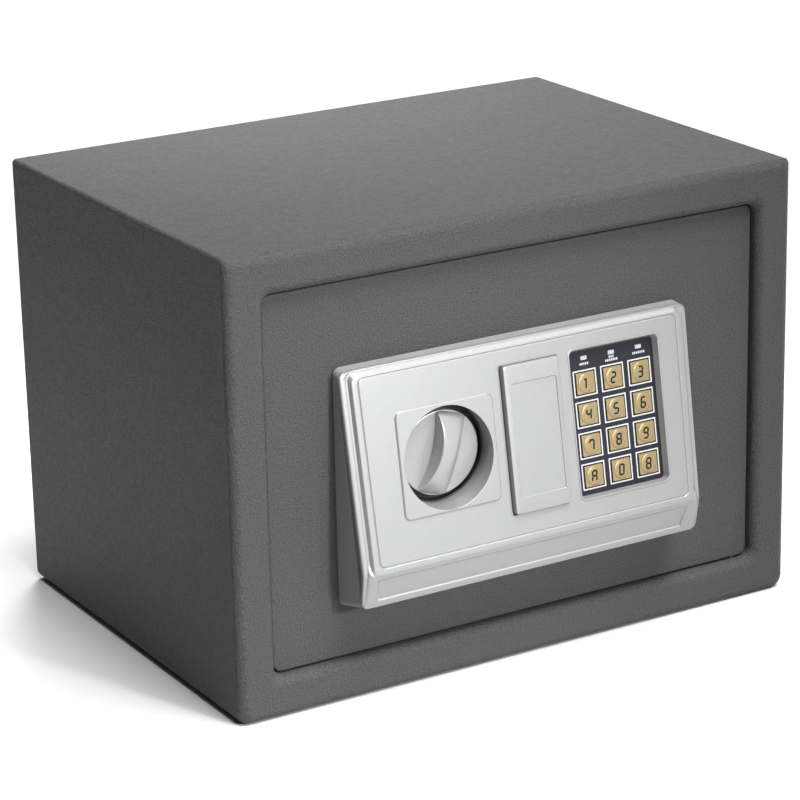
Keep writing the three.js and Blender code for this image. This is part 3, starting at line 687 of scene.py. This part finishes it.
def face_ring(x0, x1, z0, z1, corner, depth, foot_depth=None):
    """An outline on the console's face, raised by depth; foot_depth is the depth along its bottom."""
    points = outline(x0, x1, z0, z1, corner)
    quarter = CORNER_STEPS + 1
    room = max(CREASE_Z - (z0 + corner), 1.8)
    sides = [z0 + corner + room + off for off in CREASE_SIDE]
    right = [(x1, z) for z in sides]
    left = [(x0, z) for z in reversed(sides)]
    points = points[:quarter] + right + points[quarter:3 * quarter] + left + points[3 * quarter:]
    foot_depth = depth if foot_depth is None else foot_depth
    ring = []
    for x, z in points:
        share = min(max((z - z0) / (corner + 2), 0), 1)
        share = share * share * (3 - 2 * share)
        ring.append(Vector((leaned(x, z), rim_y(z) - foot_depth - (depth - foot_depth) * share, z)))
    return ring


def on_slope(h):
    """The height of a place that far up the console's slope from the knob."""
    return KNOB_Z + h * math.cos(TILT)


def front_shape():
    left, right, low, high = CONSOLE_LEFT, CONSOLE_RIGHT, FOOT_Z, TOP_Z
    top = on_slope(53)
    rings = [
        face_ring(left + 2.4, right - 2.4, low + 2.4, high - 2.4, 3, -2.4),
        face_ring(left, right, low, high, 4, -2.6),
        face_ring(left, right, low, high, 4, -1.0),
        face_ring(left + 0.35, right - 0.35, low + 0.3, high - 0.3, 4, -0.3),
        face_ring(left + 1.3, right - 1.3, low + 1.0, high - 1.0, 3.6, 0),
        face_ring(left + 3.0, right - 2.6, CREASE_Z - 1.6, top + 1.2, 5, 0, PLATEAU - 0.35),
        face_ring(left + 3.5, right - 3.1, CREASE_Z - 1.4, top + 0.8, 5, -0.35, PLATEAU - 0.3),
        face_ring(left + 4.7, right - 4.2, CREASE_Z - 0.9, top + 0.3, 4.8, -0.35, PLATEAU - 0.15),
        face_ring(left + 5.6, right - 5.1, CREASE_Z - 0.2, top - 1.6, 4.2, PLATEAU - 0.2, PLATEAU - 0.05),
        face_ring(left + 6.1, right - 5.6, CREASE_Z + 0.5, top - 2.2, 4, PLATEAU),
    ]
    groove_low, groove_high = on_slope(-50.6), on_slope(50.3)
    for inset, depth in ((0, PLATEAU), (0.45, PLATEAU - 0.6), (0.9, PLATEAU)):
        rings.append(face_ring(-103.5 + inset, 93.5 - inset, groove_low + inset, groove_high - inset,
                               3.6 - inset, depth))
    return loft(rings)


def strip_panel():
    """The cut for the shallow sunken panel on the strip below the crease. A ledge slopes down along
    its foot."""
    top, foot, shallow, deep, ledge = CREASE_Z - 3, CREASE_Z - 14.9, 0.45, 1.05, 5
    corners = [(90.4, foot, deep, ledge), (92.4, top, shallow, 0), (-102.4, top, shallow, 0),
               (-101.2, foot, deep, ledge)]
    inner, outer = [], []
    for x, z, depth, drop in corners:
        inner.append(Vector((x, rim_y(z) - PLATEAU * strip_share(z) + depth, z)))
        outer.append(inner[-1] - Vector((0, 6, drop)))
    return loft([outer, inner])


def strip_share(z):
    """How much of the plateau's height the strip still has at a height below the crease."""
    return (z - FOOT_Z) / (CREASE_Z - FOOT_Z)


def keypad_mouth():
    """The cut for the keypad's window, whose walls draw in a little towards the label."""
    levels = ((-1.2, -8), (0, -PLATEAU - 0.1), (0.12, -PLATEAU + 0.6), (1, KEYPAD_FACE - GAP), (1, 8))
    rings = []
    for share, y in levels:
        shape = outline(KEYPAD_LEFT + 0.4 * share, KEYPAD_RIGHT - 1.3 * share, KEYPAD_SILL + share,
                        KEYPAD_HIGH - 1.4 * share, 3 - share)
        rings.append(at(shape, y))
    return moved(loft(rings), SLOPE)


def keypad_lip():
    """The thin raised rim round the keypad's window."""
    x, h = (KEYPAD_LEFT + KEYPAD_RIGHT) / 2, (KEYPAD_SILL + KEYPAD_HIGH) / 2
    width, height = KEYPAD_RIGHT - KEYPAD_LEFT + 1.8, KEYPAD_HIGH - KEYPAD_SILL + 1.8
    lip = raised_frame(x, h, width, height, 1.6, 3.4, -PLATEAU - 0.35, -PLATEAU + 0.5)
    return moved(lip, SLOPE)


def knob_plate():
    """The raised square that the knob's cup sinks into."""
    sides = (KNOB_X - KNOB_PLATE_X, KNOB_X + KNOB_PLATE_X, -KNOB_PLATE_H, KNOB_PLATE_H)
    rings = []
    for inset, y in ((-0.3, 0), (0, -PLATEAU), (0.05, -PLATEAU - 0.5), (0.75, -PLATEAU - 0.95)):
        rings.append(inset_ring(sides, inset, y, 3.8 - inset))
    return moved(loft(rings), SLOPE)


def knob_cup():
    """The cup behind the slope that the knob sits in, still solid."""
    cup = rod("y", KNOB_CUP + 1.6, FRONT - 11, CUP_BACK, KNOB_AXIS, 96)
    return clipped(cup, moved(block(-100, -10, -1, 30, -40, 40), SLOPE))


def cover_pockets():
    """The override cover's pocket, and a shallower band along its left side."""
    low, high = -39.3, 41.1
    pocket = slab(outline(-18.4, 18, low, high, 1.8), -8, 0.2)
    band = slab(outline(-20, -10, low, high, 1), -8, -0.9)
    return [moved(pocket, SLOPE), moved(band, SLOPE)]


def build_console_front():
    ahead = FRONT - 40
    label = outline(KEYPAD_LEFT - 1, KEYPAD_RIGHT + 1, KEYPAD_LOW - 1, KEYPAD_HIGH + 1, 3)
    cuts = [
        rod("y", KNOB_CUP, ahead, CUP_BACK - CUP_WALL, KNOB_AXIS, 96),
        rod("y", SHAFT_HOLE, ahead, CUP_BACK + 1, KNOB_AXIS, 40),
        rod("y", LOCK_RADIUS + 3.3, ahead, FRONT, LOCK_AXIS, 48),
        *cover_pockets(),
        keypad_mouth(),
        moved(slab(label, 1.7, 8), SLOPE),
        strip_panel(),
    ]
    return piece("console_fascia", front_shape(), "door", "silver_paint", ["console_front"],
                 adds=[knob_plate(), keypad_lip(), knob_cup()], cuts=cuts, edge=0.28, angle=42)


def build_console_base():
    back = DOOR_LOW.y - GAP
    floor = back - HOUSING_WALL
    left, right, corner = CONSOLE_LEFT, CONSOLE_RIGHT, 4

    def ring(inset, z0, z1, y=None):
        points = outline(left + inset, right - inset, z0 + inset, z1 - inset, corner)
        if y is None:
            return [Vector((leaned(x, z), rim_y(z) + 2.7, z)) for x, z in points]
        return at(points, y)

    rings = [
        ring(0.3, CONSOLE_LOW, CONSOLE_HIGH, back),
        ring(0, CONSOLE_LOW, CONSOLE_HIGH, back - 0.5),
        ring(0, FOOT_Z, TOP_Z),
        ring(2.2, FOOT_Z, TOP_Z),
        ring(2.2, CONSOLE_LOW, CONSOLE_HIGH, floor),
    ]
    holes = [
        rod("y", SHAFT_HOLE, floor - 1, back + 1, KNOB_AXIS, 40),
        rod("y", LOCK_RADIUS + GAP, floor - 1, back + 1, LOCK_AXIS, 48),
    ]
    return piece("console_housing", loft(rings), "door", "housing_grey", ["console_base"], cuts=holes)


def build_key_cover():
    sides, panel = (-17.9, 17.5, -38.8, 40.95), (-14.2, 14.4, -30.2, 31)
    face = -PLATEAU - 2.3
    rings = []
    for inset, y in ((0, -0.1), (0, face + 0.9), (0.25, face + 0.3), (0.9, face)):
        rings.append(inset_ring(sides, inset, y, 1.8))
    for inset, y in ((0, face), (0.35, face + 0.4)):
        rings.append(inset_ring(panel, inset, y, 1.1))
    return piece("override_cover", moved(loft(rings), SLOPE), "key_cover", "silver_paint", ["key_cover"])


def build_cover_mark():
    """The small moulded tick on the fascia above the override cover."""
    tick = slab(outline(-0.35, 0.35, 41.9, 44.4, 0.3, steps=3), -PLATEAU - 0.18, -PLATEAU + 0.2)
    return piece("cover_mark", moved(tick, SLOPE), "door", "silver_paint")


# ---- Keypad --------------------------------------------------------------------------------------
def key_places():
    for i, name in enumerate(KEY_ORDER):
        yield name, KEY_X + KEY_PITCH_X * (i % 3 - 1), KEY_H + KEY_PITCH_H * (1.5 - i // 3)


def raised_frame(x, h, width, height, border, corner, y0, y1):
    """A flat picture frame of that border, printed or raised on a face."""
    left, right, low, high = x - width / 2, x + width / 2, h - height / 2, h + height / 2
    outer = outline(left, right, low, high, corner, steps=3)
    inner = outline(left + border, right - border, low + border, high - border,
                    max(corner - border, 0.05), steps=3)
    return loft([at(outer, y1), at(outer, y0), at(inner, y0), at(inner, y1)], joined=True)


def build_keypad_print():
    """The label's white key borders and the marks under the lamps, and black rings round the keys that are
    painted shade for the dark gap between each key and its border.
    """
    top, under, foot = KEYPAD_FACE - 0.06, KEYPAD_FACE - 0.03, KEYPAD_FACE + 0.2
    borders, gap_shade_rings = [], []
    for _, x, h in key_places():
        borders.append(raised_frame(x, h, 14.7, 14.3, 0.72, 0.2, top, foot))
        gap_shade_rings.append(raised_frame(x, h, 13.26, 12.86, 0.62, 0.15, under, foot))
    dash, step, half_height, drop, row_pitch = 0.76, 1.17, 0.62, 3.2, 1.75
    for lamp, rows in ((-1, (5,)), (0, (3, 7)), (1, (7,))):
        for row, count in enumerate(rows):
            h = LED_H - drop + row_pitch * ((len(rows) - 1) / 2 - row)
            for i in range(count):
                x = LED_X + KEY_PITCH_X * lamp + step * (i - (count - 1) / 2)
                x0, x1 = x - dash / 2, x + dash / 2
                borders.append(block(x0, x1, top, foot, h - half_height, h + half_height))
    white = piece("keypad_lines", moved(merged(*borders), SLOPE), "door", "lens")
    white.data.materials[0] = WHITE_INK
    # Black rings round the keys: painted shade for the gap round each key.
    black = piece("keypad_surrounds", moved(merged(*gap_shade_rings), SLOPE), "door", "keypad_label")
    black.data.materials[0] = BLACK_INK_AND_SHADE


# A figure's bars on a grid one wide and two high, from its bottom left corner. The seven of a segment
# display are a to g, and the others are strokes of 0, 1 and 7.
SEGMENTS = {
    "a": ((0, 2), (1, 2)), "b": ((1, 2), (1, 1)), "c": ((1, 1), (1, 0)), "d": ((0, 0), (1, 0)),
    "e": ((0, 0), (0, 1)), "f": ((0, 1), (0, 2)), "g": ((0, 1), (1, 1)), "x": ((0, 1.6), (0.5, 2)),
    "y": ((0.5, -0.1), (0.5, 2)), "z": ((0, 1.4), (0, 2)), "l": ((0, 0), (0, 2)), "r": ((1, 0), (1, 2)),
}
FIGURES = {
    "0": "adlr", "1": "xy", "2": "abged", "3": "abgcd", "4": "fgbc", "5": "afgcd", "6": "afgecd",
    "7": "azr", "8": "abcdefg", "9": "abcdfg", "a": "abcefg", "b": "abcdefg",
}


def figure(name, x, h, y0, y1):
    """The bars of one figure, slanted, each with pointed ends."""
    width, height, thick, slant = 2.65, 2.75, 0.5, 0.1
    bars = []
    for segment in FIGURES[name]:
        (ax, az), (bx, bz) = SEGMENTS[segment]
        start = Vector(((ax - 0.5) * width, (az - 1) * height))
        end = Vector(((bx - 0.5) * width, (bz - 1) * height))
        along = (end - start).normalized() * thick
        side = Vector((-along.y, along.x))
        gap = along * 0.04
        corners = [start + gap, start + gap + along + side, end - gap - along + side,
                   end - gap, end - gap - along - side, start + gap + along - side]
        bars.append(slab([(x + c.x + slant * c.y, h + c.y) for c in corners], y0, y1))
    return merged(*bars)


def build_keys():
    dome_radius = 5.2
    dome = ((0, 0.55), (2.6, 0.54), (3.9, 0.5), (4.5, 0.42), (4.9, 0.28), (5.1, 0.1), (dome_radius, -0.1))
    for name, x, h in key_places():
        sides = (x - KEY_WIDTH / 2, x + KEY_WIDTH / 2, h - KEY_HEIGHT / 2, h + KEY_HEIGHT / 2)
        body = []
        for inset, y in ((-0.8, 4.5), (-0.8, 3.95), (0, 3.9), (0, KEY_FACE + 0.4), (0.12, KEY_FACE + 0.12),
                         (0.4, KEY_FACE)):
            body.append(inset_ring(sides, inset, y, 0.6, 4))
        profile = [(radius, KEY_FACE - rise) for radius, rise in dome]
        profile += [(dome_radius, KEY_FACE + 1), (0, KEY_FACE + 1)]
        cap = turned(profile, "y", (x, 0, h), 56)
        piece(f"keycap_{name}", moved(loft(body), SLOPE), f"key_{name}", "gold_key", [f"key_{name}"],
              adds=[moved(cap, SLOPE)])
        glyph = figure(name, x - 0.2, h, KEY_FACE - 0.58, KEY_FACE - 0.2)
        ink = piece(f"figure_{name}", moved(glyph, SLOPE), f"key_{name}", "black_plastic")
        ink.data.materials[0] = BLACK_INK_AND_SHADE


def build_lamps():
    for side, place in (("left", -1), ("middle", 0), ("right", 1)):
        x = LED_X + KEY_PITCH_X * place
        sides = (x - 2, x + 2, LED_H - 1.1, LED_H + 1.1)
        rings = []
        for inset, y in ((0, 5), (0, 1.85), (0.15, 1.7)):
            rings.append(inset_ring(sides, inset, y, 0.2, 4))
        piece(f"lamp_{side}", moved(loft(rings), SLOPE), "door", "lens", [f"led_{side}"])


# ---- Turn knob -----------------------------------------------------------------------------------
def grip_section(along):
    """The grip's section at a place along it, from -1 to 1: a steep scooped wall on the left, a crest
    near it, and a flank that rolls down to the disc on the right."""
    reach = math.sqrt(max(0, 1 - along * along))
    height = 0.05 + 8.4 * reach ** 1.3
    left_foot, right_foot = -9.6 + 5.0 * reach * reach, 9.6 + 0.8 * reach * reach
    section = [(right_foot, 1.2)]
    for i in range(13):
        angle = math.radians(90 * i / 12)
        section.append((left_foot + 1.4 + (right_foot - left_foot - 1.4) * math.cos(angle) ** 0.8,
                        -height * math.sin(angle) ** 1.15))
    for i in range(1, 4):
        angle = math.radians(90 * i / 3)
        section.append((left_foot + 1.4 - 0.9 * math.sin(angle),
                        -height + 0.8 * reach * (1 - math.cos(angle))))
    return [*section, (left_foot, 0), (left_foot, 1.2)]


def build_painted_shade_washer():
    """The black liner in the bottom of the knob's cup: a washer with a low wall. It is painted shade that
    darkens the deep gap round the disc.
    """
    floor = CUP_BACK - CUP_WALL
    wall, outer = floor - 4.6, KNOB_CUP - 0.15
    profile = [(0, floor - 0.7), (outer - 0.7, floor - 0.7), (outer - 0.7, wall + 0.2), (outer - 0.5, wall),
               (outer - 0.15, wall), (outer, wall + 0.2), (outer, floor), (0, floor)]
    bore = rod("y", 5, floor - 2, floor + 1, KNOB_AXIS, 40)
    washer = turned(profile, "y", KNOB_AXIS, 96)
    piece("painted_shade_washer", washer, "door", "black_plastic", cuts=[bore])


def knob_grip():
    """The grip across the knob, trimmed to the disc."""
    steps = 36
    rings = []
    for i in range(steps + 1):
        along = -math.cos(math.pi * i / steps)
        section = grip_section(along)
        rings.append([Vector((across, y, along * (KNOB_RADIUS - 1))) for across, y in section])
    place = Matrix.Translation((KNOB_X, KNOB_FACE, KNOB_Z)) @ Matrix.Rotation(KNOB_LEAN, 4, "Y")
    disc = rod("y", KNOB_RADIUS - 0.45, KNOB_FACE - 12, KNOB_FACE + 2, KNOB_AXIS, 120)
    return clipped(moved(loft(rings), place), disc)


def build_knob():
    grip = knob_grip()
    back = KNOB_FACE + 4.2
    profile = [(0, KNOB_FACE + 0.5), (19.5, KNOB_FACE + 0.12), (22.2, KNOB_FACE), (22.75, KNOB_FACE),
               (23.1, KNOB_FACE + 0.15), (KNOB_RADIUS, KNOB_FACE + 0.5), (KNOB_RADIUS, KNOB_FACE + 3.9),
               (23, back), (0, back)]
    disc = turned(profile, "y", KNOB_AXIS, 120)
    bore = rod("y", 4.3, KNOB_FACE + 1.2, FRONT + 5, KNOB_AXIS, 40)
    # The black washer in the cup is painted shade for the gap round the disc.
    build_painted_shade_washer()
    knob = piece("dial_knob", disc, "knob", "silver_paint", ["turn_knob"], adds=[grip], cuts=[bore])
    # The knob's brighter copy of the silver paint is painted light.
    knob.data.materials[0] = KNOB_SILVER_LIT
    return knob


def build_bolts():
    for side, z in zip(("lower", "upper"), BOLT_HEIGHTS):
        low, high = node_box(f"bolt_{side}")
        r, neck, shoulder = BOLT_RADIUS, 4, -118.3
        profile = [(0, low.x), (r - 2.2, low.x), (r - 1.2, low.x + 0.35), (r - 0.35, low.x + 1.2),
                   (r, low.x + 2.4), (r, -119), (r - 0.5, shoulder), (neck, shoulder),
                   (neck, high.x - 0.5), (neck - 0.5, high.x), (0, high.x)]
        piece(f"live_bolt_{side}", turned(profile, "x", (0, BOLT_Y, z)), "bolts", "steel", [f"bolt_{side}"])


def build_override_lock():
    low, high = node_box("override_lock")
    front = low.y
    profile = [(0, front), (11.4, front), (12, front + 0.6), (12, front + 2), (LOCK_RADIUS, front + 2.2),
               (LOCK_RADIUS, high.y), (0, high.y)]
    bore = rod("y", PLUG_RADIUS + GAP, front - 1, high.y + 1, LOCK_AXIS)
    piece("lock_barrel", turned(profile, "y", LOCK_AXIS), "door", "brass", ["override_lock"],
          cuts=[bore], edge=0.2)
    low, high = node_box("override_plug")
    slot = block(LOCK_X - 3.8, LOCK_X + 3.8, low.y - 1, low.y + 12, LOCK_Z - 0.7, LOCK_Z + 0.7)
    plug = rod("y", PLUG_RADIUS, low.y, high.y, LOCK_AXIS, edge=0.4)
    piece("lock_core", plug, "override", "brass", ["override_plug"], cuts=[slot], edge=0.15)


def build_spring():
    """The plunger's return spring, which closes up as the plunger lifts."""
    low, high = node_box("plunger_spring")
    wire, turns, sides = 0.42, 5, 10
    centre = (low + high) / 2
    coil = (high.x - low.x) / 2 - wire
    steps = turns * 24
    rings = []
    for i in range(steps + 1):
        angle = 2 * math.pi * turns * i / steps
        z = low.z + wire + (high.z - low.z - 2 * wire) * i / steps
        outward = Vector((math.cos(angle), math.sin(angle), 0))
        middle = Vector((centre.x, centre.y, z)) + outward * coil
        ring = circle(wire, sides)
        rings.append([middle + outward * u + Vector((0, 0, v)) for u, v in ring])
    spring = piece("return_spring", loft(rings), "plunger", "steel", ["plunger_spring"])
    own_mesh(spring)


# ---- Inner cover ---------------------------------------------------------------------------------
def build_inner_cover():
    low, high = node_box("inner_cover")
    left, right, bottom, top = -137.7, 118, 60, 200
    front, back, wall, corner, bend = low.y, high.y, 1.2, 8, 3
    outer_bend = arc(bend, back - bend, bend, 180, 90, 5)
    inner_bend = arc(bend, back - bend, bend - wall, 180, 90, 3)
    sides = (left, right, bottom, top)
    rings = [inset_ring(sides, 0, front, corner)]
    for inset, y in outer_bend + inner_bend[::-1]:
        rings.append(inset_ring(sides, inset, y, corner - inset * 0.5))
    rings.append(inset_ring(sides, wall, front, corner - wall))
    holes = [rod("x", BOLT_RADIUS + 0.6, left - 2, left + 4, (0, BOLT_Y, z), 48) for z in BOLT_HEIGHTS]
    bay_low, bay_high = node_box("battery_box")
    bay = outline(bay_low.x - GAP, bay_high.x + GAP, bay_low.z - GAP, bay_high.z + GAP, 3)
    reset_low, reset_high = node_box("reset_button")
    reset = (reset_low + reset_high) / 2
    holes.append(slab(bay, back - 5, back + 1))
    holes.append(rod("y", 4.1, back - 5, back + 1, (reset.x, 0, reset.z), 40))
    ears = []
    for x in (-100, 90):
        for z, rim in ((bottom - 5, bottom), (top + 5, top)):
            shape = outline(x - 9, x + 9, min(z - 6, rim), max(z + 6, rim), 3)
            ears.append(slab(shape, front, front + wall))
            holes.append(rod("y", 2, front - 1, front + 3, (x, 0, z), 32))
    return piece("lockwork_cover", dished(rings), "door", "powder_coat", ["inner_cover"],
                 adds=ears, cuts=holes)


def dished(rings):
    """A dished shell: the outer rings run to the back, the inner ones return, and both are closed there."""
    turn = len(rings) // 2 + 1
    outer, inner = rings[:turn + 1], rings[turn + 1:]
    outer_points, outer_faces = loft(outer, capped=False)
    inner_points, inner_faces = loft(inner, capped=False)
    count = len(rings[0])
    faces = outer_faces + [tuple(range((len(outer) - 1) * count, len(outer) * count))]
    start = len(outer_points)
    faces += [tuple(start + i for i in face) for face in inner_faces]
    faces.append(tuple(range(start, start + count)))
    last = start + (len(inner) - 1) * count
    for j in range(count):
        k = (j + 1) % count
        faces.append((j, k, last + k, last + j))
    return outer_points + inner_points, faces


def build_cover_screws():
    for i in range(1, 5):
        low, high = node_box(f"cover_screw_{i}")
        x, z = (low.x + high.x) / 2, (low.z + high.z) / 2
        shank, head, seat = 1.7, 3.6, high.y - 2.2
        profile = [(0, low.y), (shank, low.y), (shank, seat), (head, seat), (head, seat + 1),
                   (3.2, seat + 1.7), (2.2, seat + 2.1), (0, high.y)]
        bottom, long, thin = high.y - 1.2, 1.9, 0.35
        cross = [block(x - long, x + long, bottom, high.y + 1, z - thin, z + thin),
                 block(x - thin, x + thin, bottom, high.y + 1, z - long, z + long)]
        screw = turned(profile, "y", (x, 0, z), 48)
        piece(f"pan_screw_{i}", screw, "door", "steel", [f"cover_screw_{i}"], cuts=cross)


def build_reset_button():
    low, high = node_box("reset_button")
    x, z = (low.x + high.x) / 2, (low.z + high.z) / 2
    r, collar, stop = 3.7, (high.x - low.x) / 2, high.y - 3.1
    profile = [(0, low.y), (r, low.y), (r, low.y + 2), (collar, low.y + 2), (collar, stop), (r, stop),
               (r, high.y - 0.6), (r - 0.25, high.y - 0.15), (r - 0.8, high.y), (r - 1.6, high.y - 0.2),
               (0, high.y - 0.45)]
    piece("reset_push", turned(profile, "y", (x, 0, z), 56), "reset", "red_plastic", ["reset_button"])


# ---- Carried-over CAD nodes ----------------------------------------------------------------------
def finish_nodes():
    """CAD nodes that stay in view get their slot's material and a small edge radius."""
    for name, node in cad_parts.items():
        if node.hide_render:
            continue
        slot = node.data.materials[0].name.split(".")[0]
        node.data.materials[0] = MATERIALS[slot]
        weld = node.modifiers.new("weld", "WELD")
        weld.merge_threshold = WELD
        if name not in ("keypad_plate", "keypad_membrane", "circuit_board"):
            round_edges(node, 0.25, 40)


# ---- Stage ---------------------------------------------------------------------------------------
def build_floor():
    reach, level = 8000, -0.4
    corners = ((-reach, -reach), (reach, -reach), (reach, reach), (-reach, reach))
    floor = mesh_object("floor", ([Vector((x, y, level)) for x, y in corners], [(0, 1, 2, 3)]))
    shader = Shader("floor", 0.7)
    shader.tint(shader.blend(shader.noise(2, 2), (0.6, 0.6, 0.6), (0.62, 0.62, 0.62)))
    floor.data.materials.append(shader.material)


def build_flag():
    """A black card on the left, out of the picture, which keeps far light off that side."""
    flag = mesh_object("flag", block(-705, -700, -700, 1500, 0, 1600))
    shader = Shader("black_card", 0.9)
    shader.tint(shader.blend(shader.noise(3, 2), (0.01, 0.01, 0.01), (0.012, 0.012, 0.012)))
    flag.data.materials.append(shader.material)
    flag.visible_camera = False


def spot_light(name, place, aim, cone, size, power):
    """A soft-edged spot light, with its cone in degrees."""
    light = bpy.data.lights.new(name, "SPOT")
    light.spot_size = math.radians(cone)
    light.spot_blend = 1.0
    light.shadow_soft_size = size
    light.energy = power
    lamp = bpy.data.objects.new(name, light)
    lamp.location = place
    lamp.rotation_mode = "QUATERNION"
    lamp.rotation_quaternion = (Vector(aim) - Vector(place)).to_track_quat("-Z", "Y")
    lamp.visible_camera = False
    bpy.context.scene.collection.objects.link(lamp)


def build_light():
    world = bpy.data.worlds.new("studio")
    bpy.context.scene.world = world
    world.use_nodes = True
    background = world.node_tree.nodes["Background"]
    background.inputs["Color"].default_value = (1, 1, 1, 1)
    nodes, links = world.node_tree.nodes, world.node_tree.links
    towards = nodes.new("ShaderNodeVectorMath")
    towards.operation = "DOT_PRODUCT"
    towards.inputs[1].default_value = (0.85, 0.45, 0.35)
    links.new(nodes.new("ShaderNodeTexCoord").outputs["Generated"], towards.inputs[0])
    strength = nodes.new("ShaderNodeMapRange")
    strength.inputs["To Min"].default_value = 0.03
    strength.inputs["To Max"].default_value = 1.0
    links.new(towards.outputs["Value"], strength.inputs["Value"])
    pale = nodes.new("ShaderNodeMath")
    pale.operation = "MAXIMUM"
    links.new(strength.outputs["Result"], pale.inputs[0])
    links.new(nodes.new("ShaderNodeLightPath").outputs["Is Camera Ray"], pale.inputs[1])
    links.new(pale.outputs["Value"], background.inputs["Strength"])
    sun = bpy.data.lights.new("overhead", "SUN")
    sun.energy = 5.0
    sun.angle = math.radians(30)
    lamp = bpy.data.objects.new("overhead", sun)
    lamp.rotation_mode = "QUATERNION"
    lamp.rotation_quaternion = Vector((-0.1, 0.42, -1)).to_track_quat("-Z", "Y")
    bpy.context.scene.collection.objects.link(lamp)
    spot_light("front_key", (0.16, -1.05, 0.42), (-0.2, -0.12, 0.1), 50, 0.06, 40)
    spot_light("back_of_top", (0.08, 0.45, 0.85), (0.06, 0.26, 0.25), 62, 0.12, 32)


CAMERA_PLACE = Vector((-0.849804, -1.433388, 0.673260))
CAMERA_LOOK = Vector((0.4822708, 0.8154599, -0.3200625))
CAMERA_ROLL = math.radians(-1.236)
CAMERA_LENS = 140.486


def build_camera():
    camera = bpy.data.objects.new("camera", bpy.data.cameras.new("camera"))
    camera.data.sensor_width = 36
    camera.data.lens = CAMERA_LENS
    camera.data.clip_start = 0.05
    camera.data.clip_end = 40
    camera.location = CAMERA_PLACE
    camera.rotation_mode = "QUATERNION"
    level = CAMERA_LOOK.to_track_quat("-Z", "Y")
    camera.rotation_quaternion = level @ Quaternion((0, 0, 1), CAMERA_ROLL)
    bpy.context.scene.collection.objects.link(camera)
    bpy.context.scene.camera = camera


build_camera()
build_floor()
build_flag()
build_light()
bpy.context.scene.view_settings.view_transform = "Standard"

wrap = build_wrap()
build_frame()
mat, mat_size, mat_area = build_mat()
build_door()
build_hinge_pins()
build_console_base()
build_console_front()
build_key_cover()
build_cover_mark()
build_keypad_print()
build_keys()
build_lamps()
build_knob()
build_bolts()
build_override_lock()
build_spring()
build_inner_cover()
build_cover_screws()
build_reset_button()
finish_nodes()
